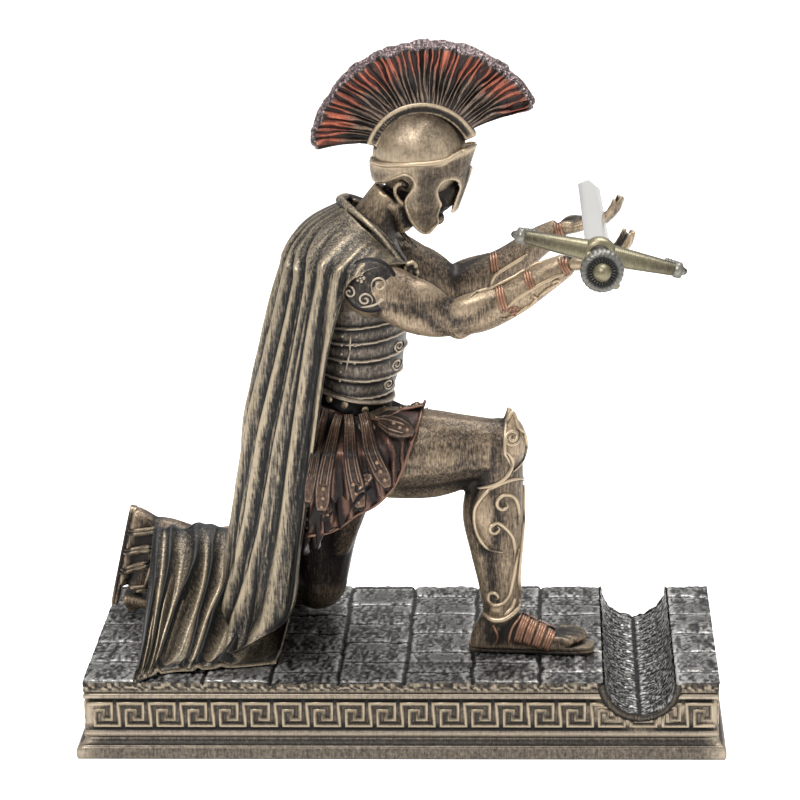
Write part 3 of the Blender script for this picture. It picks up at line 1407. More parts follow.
# %%
STRAP_RISE = 1.7
STRAP_TURNS = (-158, -132, -108, -84, -58, -30, 0, 30, 58, 84, 108, 132, 158)
STRAP_HALF = 0.105


def strap(turn_deg):
    """One strap of the skirt: flat, with a raised border and a rounded end."""
    middle = math.radians(turn_deg)
    rows, columns = 46, 17
    points = np.zeros((rows, columns, 3))
    for r in range(rows):
        t = r / (rows - 1)
        down = 0.02 + 0.88 * t
        tip = math.sqrt(max(0.0, 1 - max(0.0, (t - 0.9) / 0.1) ** 2))
        half = STRAP_HALF * (0.72 + 0.36 * t) * max(0.05, tip)
        for c in range(columns):
            s = 2 * c / (columns - 1) - 1
            border = 0.55 if abs(s) > 0.72 or t > 0.95 else 0.0
            edge = -2.2 if abs(s) > 0.99 else 0.0
            line = 0.25 * (abs(abs(s) - 0.36) < 0.07 and t < 0.72)
            points[r, c] = at(*skirt_point(down, middle + half * s, STRAP_RISE + border + edge + line))
    end = points[-1].copy()
    for c in range(columns):
        end[c] = at(*skirt_point(0.905, middle, -0.5))
    points = np.concatenate([points, end[None]])
    return lattice(f"strap_{turn_deg}", points)


def strap_rivets():
    """Three rivets on the lower part of each strap."""
    made = []
    for turn_deg in STRAP_TURNS:
        turn = math.radians(turn_deg)
        for down in (0.70, 0.78, 0.855):
            place = skirt_point(down, turn, 1.9)
            out = (skirt_point(down, turn, 3.0) - place).normalized()
            made.append(pearl("rivet", 0.62 * STEP, stud_place(at(*place), out, 0.8)))
    return joined("strap_rivets", made)


# %%
CHEST = cuirass()
dress(CHEST, ARMOUR, reach=(0.6, 1.6), strength=1.4, base=0.05)
BELT = belt()
dress(BELT, ARMOUR, reach=(1.2, 2.2))
dress(skirt(), RED, reach=(1.2, 2.8))
dress(joined("pteruges", [strap(turn) for turn in STRAP_TURNS]), STRAP, reach=(0.4, 0.9), strength=1.2)
dress(strap_rivets(), STRAP, base=0.45)


# %%
SKIRT_TOP = [
    (-21.5, 70.5), (-18.8, 69.4), (-15.1, 68.0), (-10.9, 67.0), (-8.5, 66.7), (-5.8, 67.0),
    (-1.8, 68.1), (2.4, 69.1), (6.3, 70.0),
]
SKIRT_HEM = [
    (-25.5, 35.4), (-20.3, 36.3), (-16.5, 38.1), (-11.9, 41.7), (-6.8, 44.5), (-2.2, 49.2),
    (0.4, 54.0), (3.8, 63.0), (6.8, 71.1),
]
SIDE_STRAPS = (
    # x, height and half width down each strap, from the belt to its tip
    [
        (-20.0, 69.7, 1.0), (-21.8, 62.9, 1.3), (-23.1, 56.4, 1.5), (-24.3, 50.0, 1.5),
        (-25.0, 45.7, 0.8), (-25.2, 44.4, 0.1),
    ],
    [
        (-16.7, 68.0, 1.3), (-18.1, 62.9, 1.7), (-19.6, 56.4, 2.1), (-20.6, 50.8, 2.3),
        (-20.9, 46.5, 2.2), (-21.2, 43.9, 1.5), (-21.3, 42.0, 0.1),
    ],
    [
        (-14.0, 68.0, 1.4), (-13.5, 62.9, 1.8), (-12.6, 56.4, 2.2), (-11.6, 50.8, 2.5),
        (-11.0, 46.5, 2.1), (-10.5, 44.6, 1.3), (-10.2, 43.1, 0.1),
    ],
    [
        (-10.1, 68.4, 1.5), (-8.4, 62.8, 2.0), (-6.2, 57.7, 2.3), (-4.4, 53.8, 2.4),
        (-3.4, 51.3, 1.5), (-2.9, 49.3, 0.1),
    ],
    [(-5.8, 66.9, 1.2), (-3.1, 66.5, 2.2), (0.1, 65.8, 2.4), (2.6, 65.2, 1.7), (4.5, 64.4, 0.1)],
)
SIDE_RIVETS = (
    [(-20.5, 50.1), (-20.7, 47.3), (-21.2, 44.7)],
    [(-12.4, 51.4), (-11.7, 48.7), (-11.1, 46.2)],
    [(-5.9, 57.6), (-5.0, 55.2), (-3.8, 52.7)],
    [(-1.5, 66.8), (0.2, 65.9), (2.2, 65.4)],
)


# %%
def drape(x, z):
    """How far out the skirt's near panel lies, over the hip and the raised thigh."""
    over = -14.0 - np.sqrt(np.maximum(13.6 ** 2 - np.maximum(z - 55.0, 0) ** 2, 1.0))
    over = over + 0.16 * np.maximum(55.0 - z, 0)
    swing = np.clip((67.0 - z) / 8.0, 0, 1)
    swing = swing * swing * (3 - 2 * swing)
    hip = np.clip((-3.0 - x) / 6.0, 0, 1) * (1 - swing)
    return over * (1 - hip) - 16.2 * hip


def along_line(line, share):
    """Places on a smooth line of (x, z) points, at shares of its length."""
    points = np.array([tuple(p) for p in smooth_line([Vector(p) for p in line], 12)])
    steps = np.linalg.norm(np.diff(points, axis=0), axis=1)
    reach = np.concatenate([[0], np.cumsum(steps)])
    return np.stack([np.interp(share * reach[-1], reach, points[:, k]) for k in range(points.shape[1])], -1)


def side_panel():
    """The skirt's near side: pleated cloth from the belt and thigh top to the hem."""
    rows, columns = (70, 180) if FINE else (50, 110)
    u = np.linspace(0, 1, columns)
    top, hem = along_line(SKIRT_TOP, u), along_line(SKIRT_HEM, u)
    t = np.linspace(0, 1, rows)[:, None, None]
    flat = top[None] * (1 - t) + hem[None] * t
    x, z = flat[..., 0], flat[..., 1]
    t, u = t[..., 0], u[None, :]
    phase = 2 * math.pi * (u * 8.5 + 0.5 * value_noise(u * 5, t * 2, 81))
    pleat = 1.2 * ridge(phase, 1.2) * np.clip(t * 1.6, 0, 1) * (1 - 0.55 * u)
    crease = 0.18 * value_noise(u * 60, t * 5, 83) + 0.08 * value_noise(u * 130, t * 30, 85)

    def placed(inset):
        return all_at(x, drape(x, z) - pleat - crease * t + inset, z)

    return thick_sheet("skirt_side", placed(0.9), placed(-0.1))


# %%
def side_strap(name, line):
    """A flat strap along (x, z, half width) points, with a rim and two sunk lines."""
    rows, columns = 60, 25
    stations = along_line(line, np.linspace(0, 1, rows))
    points = np.zeros((rows, columns, 3))
    for r in range(rows):
        before, after = stations[max(r - 1, 0)], stations[min(r + 1, rows - 1)]
        run = Vector((after[0] - before[0], after[1] - before[1])).normalized()
        for c in range(columns):
            s = 2 * c / (columns - 1) - 1
            half = max(0.0, stations[r][2])
            x, z = stations[r][0] - run.y * half * s, stations[r][1] + run.x * half * s
            rim = 0.5 if abs(s) > 0.76 or r > rows - 6 else 0.0
            groove = -0.3 if 0.3 < abs(s) < 0.42 and r < 0.62 * rows else 0.0
            edge = -1.6 if abs(s) > 0.99 or r == rows - 1 else 0.0
            y = float(drape(x, z)) - 1.5 - rim - groove - edge
            points[r, c] = at(x, y, z)
    return lattice(name, points)


def side_rivets():
    made = []
    for spots in SIDE_RIVETS:
        for x, z in spots:
            made.append(ball("rivet", (x, float(drape(x, z)) - 1.6, z), (0.6, 0.55, 0.6), segments=12))
    return joined("side_rivets", made)


def hem_line(name, line, radius, lift):
    points = [at(x, float(drape(x, z)) - lift, z) for x, z in along_line(line, np.linspace(0, 1, 60))]
    return tube(name, points, radius * STEP, 8)


# %%
dress(side_panel(), RED, reach=(0.7, 1.6), base=-0.2)
side_straps = [side_strap(f"side_strap_{i}", line) for i, line in enumerate(SIDE_STRAPS)]
dress(joined("side_straps", side_straps), STRAP, reach=(0.4, 0.9), base=-0.1)
dress(side_rivets(), STRAP, base=0.6)
trim = [hem_line("hem", SKIRT_HEM, 0.42, -0.3), hem_line("top_hem", SKIRT_TOP[4:], 0.4, 0.5)]
dress(joined("skirt_hems", trim), RED, base=0.7)
knots = []
for i, (x, z) in enumerate(along_line([(p[0], p[1] + 0.2) for p in SKIRT_TOP[5:]], np.linspace(0, 1, 12))):
    size = (0.8, 1.15, 0.95)[i % 3]
    centre = (x - 0.6, float(drape(x, z)) + 2.2 - 0.6 * (i % 2), z - 0.3 - 0.3 * (i % 3))
    knots.append(ball("knot", centre, (size, 1.3, 0.7 * size), 35 - 40 * (i % 2), segments=12))
dress(joined("trim_knots", knots), BRONZE, base=-0.15)


# %% [markdown]
# ## The helmet
#
# The real helmet covers the face but for the eyes and mouth, and has a thick rolled rim.
# The mask is a shell round the face, trimmed to one side outline that leaves the ear cut,
# the cheek guards and the eye holes. Cutting it out of a shell keeps the wall's thickness
# in view at each edge. The dome goes on top, and the rims are lines laid on both.

# %%
CHEEK_LINE = [
    (12.4, 121.6), (11.4, 123.2), (10.5, 120.6), (10.7, 118.5), (9.3, 116.6), (7.7, 115.3),
    (5.4, 116.1), (3.1, 119.1), (1.8, 122.8), (1.8, 125.7), (3.2, 128.0), (4.1, 129.9), (3.4, 131.6),
    (1.8, 132.2), (-0.5, 131.4), (-2.4, 130.4), (-3.8, 129.5), (-5.6, 129.1), (-8.0, 129.7),
]
BAND_LINE = [
    (-7.9, 135.1), (-6.0, 134.7), (-1.4, 134.8), (3.3, 135.5), (7.9, 135.6), (12.1, 136.0),
    (15.3, 136.9), (18.1, 138.1), (21.1, 139.1),
]
EYE_HOLE = [
    (13.4, 119.6), (14.6, 122.6), (16.3, 127.4), (16.2, 128.9), (15.2, 130.0), (13.1, 130.4), (11.3, 129.2),
    (10.6, 127.6), (10.9, 125.6), (11.7, 123.6), (11.0, 121.6), (10.9, 119.8),
]


# %%
def side_prism(name, outline, half=20.0):
    """An outline in x and z carried straight across the figure."""
    rings = [[at(x, y, z) for x, z in outline] for y in (-half, half)]
    return closed_loft(name, rings)


def mask_front(z):
    """How far the mask reaches forward at a height."""
    heights = [112, 116.5, 121, 125, 128, 131, 134, 139, 142]
    return float(np.interp(z, heights, [12.4, 13.2, 15.6, 16.8, 17.9, 18.6, 19.5, 21.2, 21.6]))


def mask_ring(z, wall, points):
    """The mask's outline at a height, moved in by the wall."""
    heights = [112, 116, 119, 123, 128, 133, 140]
    half = float(np.interp(z, heights, [5.2, 6.0, 7.2, 8.6, 9.6, 10.3, 10.6])) - wall
    back = float(np.interp(z, [112, 128, 133, 140], [-3.4, -7.4, -8.2, -8.2])) + wall
    front = mask_front(z) - wall
    ring = []
    for i in range(points):
        a = 2 * math.pi * i / points
        reach = front - 4.6 if math.cos(a) > 0 else 4.6 - back
        pinch = 1 - 0.2 * max(0.0, math.cos(a)) * abs(math.sin(a)) ** 0.6
        ring.append(at(4.6 + reach * math.cos(a), half * math.sin(a) * pinch, z))
    return ring


def mask():
    heights = np.linspace(113, 141, 86)
    points = 176 if FINE else 96
    wall = [1.4 + 3.0 * min(1.0, max(0.0, (z - 130.5) / 4.5)) for z in heights]
    outer = closed_loft("mask", [mask_ring(z, 0.0, points) for z in heights])
    room = [mask_ring(z, w, points) for z, w in zip([110, *heights[1:-3]], wall)]
    inner = closed_loft("mask_room", room)
    outline = [(-9.5, BAND_LINE[0][1]), *BAND_LINE]
    outline += [(24.0, BAND_LINE[-1][1] + 0.9), (24.0, 120.4), (14.4, 120.4)]
    outline += CHEEK_LINE[1:] + [(-9.5, CHEEK_LINE[-1][1])]
    shell = trimmed(outer, inner)
    shell = trimmed(shell, side_prism("outline", outline), "INTERSECT")
    shell = trimmed(shell, side_prism("eyes", EYE_HOLE))
    nasal = [(18.7, 0, 133.0, 1.5), (17.6, 0, 128.6, 1.1), (16.2, 0, 124.6, 1.0), (14.9, 0, 121.2, 1.0)]
    return joined("mask", [shell, limb("nasal", *nasal, sides=10)])


# %%
def dome():
    made = ball("dome", (5.4, 0, 136.0), (11.9, 10.4, 12.3), 12, segments=72)
    points = coordinates(made)
    normals = normals_of(made)
    x, z = points[:, 0] / STEP, (points[:, 2] - STANCE) / STEP
    hammered = 0.05 * value_noise(x * 0.5, z * 0.5, 61) + 0.03 * value_noise(x * 1.9, z * 0.7, 62)
    points += normals * hammered[:, None] * STEP
    points[:, 1] *= 1 - 0.13 * np.clip((135.2 - z) / 2.0, 0, 1)
    set_coordinates(made, points)
    return made


def inward(line, gap):
    """The line moved to its left by a gap, so that rays along Y still meet the piece."""
    moved = []
    for i, (x, z) in enumerate(line):
        (x0, z0), (x1, z1) = line[max(i - 1, 0)], line[min(i + 1, len(line) - 1)]
        length = math.hypot(x1 - x0, z1 - z0)
        moved.append((x + gap * (z1 - z0) / length, z - gap * (x1 - x0) / length))
    return moved


# %%
HEAD = fair(mask(), 0.34 * MM, 1)
HEAD.name = "helmet_mask"
DOME = dome()
MASK_TREE = tree_of(HEAD)
HELMET_TREE = tree_of(HEAD, DOME)
dress(HEAD, HELMET, reach=(1.0, 2.4))
dress(DOME, HELMET, reach=(1.5, 2.9), base=0.1)
rims = []
for side in (-1, 1):
    rims.append(raised_line("band", HELMET_TREE, BAND_LINE, 1.5, side))
    rims.append(raised_line("cheek", MASK_TREE, inward(CHEEK_LINE[1:-1], 0.45), 0.9, side, sink=0.25))
    rims.append(raised_line("eye", MASK_TREE, inward(EYE_HOLE[4:], -0.3), 0.55, side, sink=0.3))
dress(joined("helmet_rims", rims), HELMET, base=0.5)

# %% [markdown]
# ## The crest
#
# It is a fan of brushed tufts with a curly rim, in a stepped holder along the dome. Tufts
# of separate hairs would be too fine for a casting, so it is one closed lattice: its
# columns turn from the front tip to the back, and its rows go up the near side, over the
# rim and down the far side. Tufts are ridges in the sides, and red begins half way up.

# %%
CREST_CENTRE = (8.0, 136.0)
CREST_TUFTS = 38
CREST_SIDE = 0.72  # share of the way up that the sides take, before the rim
CREST_FOOT = 14.2
CREST_HALF = 5.3


def crest_turn(share, radius):
    droop = np.where(share < 0.5, 0.12, 0.17) * (radius - 13) / 19
    return np.radians(101 + (134 * share - 69) * (1 + droop))


def crest():
    columns, rows = (440, 120) if FINE else (280, 90)
    loop, share = even_values((-1, 1), (0, 1), rows, columns)
    side = np.sign(loop)
    up = 1 - np.abs(loop)
    climb = np.clip(up / CREST_SIDE, 0, 1)
    over = np.clip((up - CREST_SIDE) / (1 - CREST_SIDE), 0, 1)
    edge = np.minimum(share, 1 - share)
    top = 30.9 + 1.5 * np.abs(2 * share - 1) - 1.6 * np.clip(1 - edge / 0.03, 0, 1)
    radius = CREST_FOOT + (top - 1.6 - CREST_FOOT) * climb + 1.6 * np.sin(over * math.pi / 2)
    half = CREST_HALF - 3.0 * (1 - climb ** 1.3)
    half = np.where(over > 0, CREST_HALF * np.cos(over * math.pi / 2) ** 0.8, half)
    sway = 0.42 * value_noise(share * 34, radius / 7.0, 71) + 0.25 * value_noise(share * 90, radius / 4.0, 72)
    tuft = share * CREST_TUFTS + sway
    locks = ridge(2 * math.pi * tuft, 1.1) * (0.85 + 0.4 * value_noise(tuft, radius / 9, 73))
    hairs = 0.34 * ridge(2 * math.pi * tuft * 3.3 + 1.5 * side, 1.0)
    hairs = hairs + 0.2 * value_noise(share * 420, radius / 5, 74)
    sides = (1.15 * locks + hairs) * np.clip(climb * 3, 0, 1) * (1 - over)
    curl = value_noise(share * 150 + 2.0 * loop, loop * 26, 75)
    curl = curl + 0.8 * value_noise(share * 260, loop * 44, 76)
    curls = 0.22 * np.abs(curl) * np.clip((up - 0.7) / 0.06, 0, 1)
    ragged = 0.5 * value_noise(tuft * 1.1, side, 77) * np.clip((up - 0.5) / 0.2, 0, 1)
    half = (half + sides) * np.clip(edge / 0.004, 0, 1) ** 0.5
    radius = radius + curls + ragged
    turn = crest_turn(share, radius)
    x = CREST_CENTRE[0] + radius * np.cos(turn)
    z = CREST_CENTRE[1] + radius * np.sin(turn)
    y = side * (half + 0.5 * curls * (half > 1))
    made = lattice("crest", all_at(x, y, z))
    border = 0.11 * value_noise(tuft * 0.8, side * 3, 78)
    red = np.clip((climb - 0.5 - 1.2 * border) / 0.25, 0, 1) * (1 - np.clip((up - 0.69) / 0.04, 0, 1))
    rim = np.clip((up - CREST_SIDE) / 0.04, 0, 1)
    wear = np.clip(0.62 + 1.5 * locks + 0.9 * hairs, -1, 1) * (1 - rim)
    wear = wear + rim * np.clip(1.6 * np.abs(curl) - 0.75, -1, 1)
    for label, value in (("red", red), ("rim", rim), ("wear", wear)):
        attribute = made.data.attributes.new(label, "FLOAT", "POINT")
        attribute.data.foreach_set("value", value.ravel().astype(np.float32))
    return made


# %%
def crest_material():
    """Brown tufts that turn red towards their tips, and a dark curly rim."""
    material = patina(
        "crest", (0.01, 0.007, 0.006), (0.045, 0.03, 0.024), (0.27, 0.185, 0.125), metallic=0.3
    )
    nodes, links = material.node_tree.nodes, material.node_tree.links
    shader = nodes["Principled BSDF"]
    colour = shader.inputs["Base Color"].links[0].from_socket
    for label, three in (
        ("red", ((0.018, 0.008, 0.006), (0.14, 0.034, 0.02), (0.5, 0.14, 0.075))),
        ("rim", ((0.012, 0.008, 0.009), (0.09, 0.06, 0.06), (0.3, 0.205, 0.195))),
    ):
        group = nodes.new("ShaderNodeGroup")
        group.node_tree = DRYBRUSH
        for name, value in zip(("Dark", "Mid", "Light"), three):
            group.inputs[name].default_value = (*value, 1.0)
        share = nodes.new("ShaderNodeAttribute")
        share.attribute_name = label
        mix = nodes.new("ShaderNodeMix")
        mix.data_type = "RGBA"
        links.new(share.outputs["Fac"], mix.inputs["Factor"])
        links.new(colour, mix.inputs["A"])
        links.new(group.outputs["Color"], mix.inputs["B"])
        colour = mix.outputs["Result"]
    links.new(colour, shader.inputs["Base Color"])
    return material


def crest_rail():
    """The curved holder: a stepped band from the nape to the brow."""
    profile = [
        (10.6, 1.3), (12.6, 1.5), (12.8, 2.3), (13.3, 2.5), (13.6, 2.1), (15.1, 2.5),
        (15.7, 2.7), (16.0, 2.2),
    ]
    loop = [(r, -h) for r, h in profile] + [(r, h) for r, h in profile[::-1]]
    rings = []
    for i in range(101):
        turn = math.radians(25 + 138 * i / 100)
        rings.append([at(6.5 + r * math.cos(turn), h, 134.9 + r * math.sin(turn)) for r, h in loop])
    inner = [(10.4, -1.2), (12.2, -1.3), (12.9, -0.9), (12.9, 0.9), (12.2, 1.3), (10.4, 1.2)]
    spine = []
    for i in range(101):
        turn = math.radians(1 + 180 * i / 100)
        spine.append([at(5.6 + r * math.cos(turn), h, 135.6 + r * math.sin(turn)) for r, h in inner])
    return joined("crest_rail", [closed_loft("rail", rings), closed_loft("spine", spine)])


dress(crest(), crest_material())
dress(fair(crest_rail(), 0.4 * MM, 1), HELMET, reach=(0.9, 2.0))

# %% [markdown]
# ## Collar, brooch and shoulder guard
#
# The cloak's collar is rolled in three soft folds, so it is clay like the body. The brooch
# is a flower with a fold of cloth hanging from it. The guard is a domed plate over the
# shoulder, turned outwards, with scrolls laid on it as lines.

# %%
def collar():
    forms = []
    for out in (-1, 1):
        line = [
            (-16.4, 0, 123.8, 1.3), (-14.6, 5.2 * out, 123.4, 1.2), (-9.6, 10.4 * out, 120.6, 0.95),
            (-4.6, 13.6 * out, 116.4, 0.8), (-0.6, 15.8 * out, 111.6, 0.75), (2.6, 17.6 * out, 107.4, 0.7),
        ]
        forms.append(limb(f"lapel_{out}", *line))
        under = [(x - 1.4, y * 1.12, z - 2.4, r * 0.8) for x, y, z, r in line]
        forms.append(limb(f"under_{out}", *under))
        inner = [(x + 1.4, y * 0.86, z - 0.6, r * 0.62) for x, y, z, r in line[1:]]
        forms.append(limb(f"inner_{out}", *inner))
    return clay("collar", forms, 0.45 * MM, 2)


def brooch():
    forms = [ball("pin", (3.4, -18.2, 108.0), (1.6, 2.6, 3.0), 14)]
    for k in range(9):
        a = 2 * math.pi * k / 9
        place = (3.6 + 1.2 * math.cos(a), -19.6 - 0.3 * math.sin(a), 108.2 + 2.4 * math.sin(a))
        forms.append(ball(f"petal_{k}", place, (1.0, 1.0, 0.9), segments=10))
    for k in range(5):
        place = (3.0 + 0.5 * k, -18.4 + 0.3 * k, 104.6 - 0.9 * k)
        forms.append(ball(f"fold_{k}", place, (1.5 - 0.15 * k, 1.3, 1.2), segments=10))
    return clay("brooch", forms, 0.35 * MM, 1)


# %%
GUARD_CENTRE = (-7.0, -20.6, 105.0)


def shoulder_guard():
    """A domed plate over the shoulder, turned outwards."""
    axis = Vector((-0.02, -1.0, 0.16)).normalized()
    turn = axis.to_track_quat("Z", "Y").to_matrix()
    rows, columns = 40, 120
    points = np.zeros((rows, columns, 3))
    for r in range(rows):
        t = min(1.0, r / (rows - 3))
        angle = math.radians(50) * t
        back = 0.9 if r == rows - 1 else 0.0
        for c in range(columns):
            a = 2 * math.pi * c / columns
            radius = 9.7 - back + 0.25 * math.exp(-((t - 0.9) / 0.06) ** 2)
            level = (math.sin(angle) * math.cos(a), math.sin(angle) * math.sin(a), math.cos(angle))
            spot = turn @ (Vector(level) * radius)
            points[r, c] = at(*(Vector(GUARD_CENTRE) + Vector((spot.x, spot.y * 0.86, spot.z))))
    return lattice("shoulder_guard", points, wrap=True)


# %%
PAULDRON = shoulder_guard()
PAULDRON_TREE = tree_of(PAULDRON)
dress(PAULDRON, ARMOUR, reach=(0.6, 1.2), base=-0.2)
dress(collar(), CLOTH, reach=(1.2, 2.6))
dress(brooch(), HELMET, reach=(0.8, 1.6))
GUARD_SCROLLS = (
    # eye x, eye height, radius, turns, start, hand
    (-4.6, 106.6, 2.2, 1.6, 0.4, 1), (-8.4, 102.6, 2.0, 1.5, 2.6, -1),
    (-3.4, 101.8, 1.6, 1.5, 1.2, 1), (-12.6, 104.4, 1.8, 1.4, 0.0, 1),
)
GUARD_STEM = [(-2.6, 107.8), (-2.2, 104.6), (-4.0, 102.4), (-6.4, 101.0), (-9.6, 100.4)]
ROSETTE = (-9.6, 108.4)
scrolls = [raised_line("s", PAULDRON_TREE, spiral(*scroll), 0.62) for scroll in GUARD_SCROLLS]
scrolls.append(raised_line("s", PAULDRON_TREE, GUARD_STEM, 0.8))
petals = [
    (ROSETTE[0] + 0.9 * math.cos(k * 1.257), ROSETTE[1] + 0.9 * math.sin(k * 1.257)) for k in range(5)
]
scrolls += [studs("s", PAULDRON_TREE, petals, 0.5), studs("s", PAULDRON_TREE, [ROSETTE], 0.45)]
dress(joined("pauldron_scrolls", scrolls), ARMOUR, base=0.7)

# %% [markdown]
# ## Cuirass and belt details
#
# Scrolls, a strip with two rows of rivets and the belt's studs stand out of the plates.
# They are laid on by rays from each side, so they follow the chest wherever it bends.

# %%
CHEST_TREE = tree_of(CHEST)
BELT_TREE = tree_of(BELT)
details = []
for side in (-1, 1):
    for x, z in ((-0.6, 85.0), (-1.3, 79.6), (-3.6, 74.2)):
        scroll = [(x + 0.7 * a, z + b) for a, b in spiral(0, 0, 1.8, 1.9, 1.0)]
        details.append(raised_line("m", CHEST_TREE, scroll, 0.7, side))
    details.append(raised_line("m", CHEST_TREE, [(-13.0, 90.4), (-13.6, 84.6), (-15.0, 78.8)], 0.6, side))
    rivets = [(-13.4 + dx - 0.2 * k, 90.0 - 2.6 * k) for k in range(6) for dx in (-2.0, 1.8)]
    details.append(studs("m", CHEST_TREE, rivets, 0.5, side))
dress(joined("cuirass_details", details), ARMOUR, base=0.6)
BELT_STUDS = [(-15.1, 70.3), (-9.7, 68.4), (-19.4, 71.6), (-5.0, 67.0)]
belt_studs = [studs("b", BELT_TREE, BELT_STUDS, 1.1, side, 0.5) for side in (-1, 1)]
dress(joined("belt_studs", belt_studs), BRONZE, base=0.7)

# %% [markdown]
# ## Greave, bracers and sandals
#
# The greave and the bracers fit so closely that only their scrolls, edges and straps
# stand out. These are rounded lines laid on the body's skin, at places measured in the
# photograph. Shells of their own would cut into the muscles.

# %%
COP_EDGE = [
    (30.7, 52.3), (29.2, 56.6), (28.5, 58.6), (28.7, 64.3), (29.5, 67.1), (30.3, 68.2), (31.1, 67.1),
    (32.0, 64.2), (33.5, 62.3), (34.1, 58.5), (33.6, 55.2), (30.9, 52.6),
]
GREAVE_LINES = (
    [
        (28.5, 58.9), (29.9, 57.3), (30.4, 55.1), (29.2, 51.9), (26.9, 49.7), (23.6, 48.3), (21.0, 47.5),
],
    [
        (33.3, 48.4), (32.4, 49.8), (30.0, 50.2), (27.2, 49.4), (24.0, 47.5), (21.7, 44.9), (20.3, 41.8),
        (20.3, 37.5), (21.5, 33.6), (23.9, 30.5), (27.6, 29.5),
],
    [
        (31.9, 36.5), (32.0, 39.9), (31.4, 43.6), (30.1, 45.6), (28.1, 46.1), (26.5, 44.8), (26.3, 43.0),
        (27.7, 42.0), (28.9, 42.8), (28.6, 44.2),
],
    [
        (30.6, 26.8), (30.8, 29.7), (30.2, 33.6), (28.5, 36.5), (26.2, 38.2), (24.3, 37.4), (24.4, 35.8),
        (25.7, 35.3), (26.7, 36.4), (26.2, 37.4),
],
    [
        (32.0, 29.7), (31.3, 26.8), (30.5, 22.0), (29.4, 17.1), (27.5, 14.6), (25.2, 14.0), (23.8, 15.0),
        (24.0, 16.9), (25.6, 17.3), (26.4, 16.2), (25.6, 15.5),
],
    [
        (33.3, 47.0), (33.5, 42.2), (32.9, 33.5), (32.2, 25.7), (31.9, 19.9), (32.7, 16.0), (34.5, 13.6),
],
    [
        (30.8, 15.7), (29.9, 13.2), (27.9, 11.2),
],
)
ANKLE_RIM = [
    (20.0, 13.2), (21.9, 11.3), (25.1, 9.8), (28.4, 10.3), (31.6, 12.5), (34.7, 14.5),
]
SANDAL_STRAPS = [
    [(31.4, 3.0), (32.9, 7.6), (35.3, 12.0)],
    [(33.8, 2.5), (35.4, 7.1), (37.7, 10.8)],
    [(36.3, 1.9), (38.1, 6.4), (39.9, 9.6)],
    [(39.0, 1.5), (40.8, 5.4), (42.8, 8.1)],
    [(25.4, 2.7), (26.0, 5.2), (24.9, 8.3)],
    [(29.1, 3.0), (30.2, 7.4), (32.9, 10.5)],
]
LACING = [
    (35.6, 11.2), (36.7, 10.2), (37.9, 9.6), (39.0, 8.8), (40.2, 8.1), (41.4, 7.5), (42.5, 7.0),
    (43.7, 6.7),
]
NEAR_EDGES = (
    [
        (19.5, 102.8), (22.3, 104.4), (24.6, 106.0), (27.3, 108.2), (30.5, 109.1), (33.2, 110.1),
        (37.1, 111.8), (41.7, 113.6),
],
    [
        (27.9, 98.7), (31.2, 102.1), (34.3, 104.3), (37.5, 106.4), (41.0, 108.2), (44.5, 109.9),
],
    [
        (27.3, 97.3), (29.2, 97.1), (31.2, 98.1), (33.5, 99.5), (35.5, 100.7), (36.6, 101.9),
        (36.9, 102.9), (36.2, 103.4), (35.7, 102.7),
],
    [
        (36.6, 101.9), (39.0, 104.4), (41.3, 106.0), (42.9, 107.1), (42.6, 107.8), (41.6, 107.2),
        (41.9, 106.4),
],
)
NEAR_STRAPS = [
    [(26.5, 107.9), (28.8, 99.1)],
    [(34.1, 110.8), (36.2, 105.3)],
    [(43.7, 113.4), (45.7, 109.3)],
]
FAR_EDGE = [
    (24.0, 95.3), (24.6, 97.2), (25.8, 98.7), (29.1, 100.7), (32.0, 102.4), (34.4, 103.9),
]
FAR_STRAPS = [
    [(24.6, 106.2), (25.5, 99.1)],
    [(42.4, 113.5), (43.6, 108.4)],
]


# %%
def half_tree(target, low, high):
    """A search tree over the faces whose middle lies between two places along Y."""
    verts = [tuple(v.co) for v in target.data.vertices]
    faces = [tuple(p.vertices) for p in target.data.polygons if low < p.center.y < high]
    return BVHTree.FromPolygons(verts, faces)


def band_of_lines(tree, ends, count, gap, width, side=-1):
    """A strap: parallel rounded lines between two ends."""
    (x0, z0), (x1, z1) = ends[0], ends[-1]
    length = math.hypot(x1 - x0, z1 - z0)
    across = ((z1 - z0) / length, -(x1 - x0) / length)
    made = []
    for k in range(count):
        off = gap * (k - (count - 1) / 2)
        line = [(x + across[0] * off, z + across[1] * off) for x, z in ends]
        made.append(raised_line("strap_line", tree, line, width, side, 0.2))
    return made


def spaced(line, count):
    """Evenly spaced points on the straight line between its ends."""
    (x0, z0), (x1, z1) = line[0], line[-1]
    shares = [i / (count - 1) for i in range(count)]
    return [(x0 + (x1 - x0) * share, z0 + (z1 - z0) * share) for share in shares]


# %%
NEAR_SKIN = half_tree(BODY, -1.0, -0.005)
INNER_FAR = half_tree(BODY, 0.008, 1.0)
greave = [raised_line("g", NEAR_SKIN, line, 1.15) for line in GREAVE_LINES]
greave += [raised_line("g", NEAR_SKIN, line, 1.0, 1) for line in GREAVE_LINES[:5]]
greave += [raised_line("g", NEAR_SKIN, COP_EDGE, 1.1), raised_line("g", NEAR_SKIN, ANKLE_RIM, 1.7)]
greave += [raised_line("g", NEAR_SKIN, ANKLE_RIM, 1.7, 1)]
for side in (-1, 1):
    greave.append(raised_line("g", NEAR_SKIN, spiral(30.4, 62.2, 2.3, 2.0, 1.0), 1.0, side))
dress(joined("greave_scrolls", greave), HELMET, base=0.5)

edges = [raised_line("e", NEAR_SKIN, line, 1.1) for line in NEAR_EDGES]
edges.append(raised_line("e", INNER_FAR, FAR_EDGE, 1.1))
dress(joined("bracer_edges", edges), SKIN, base=0.6)

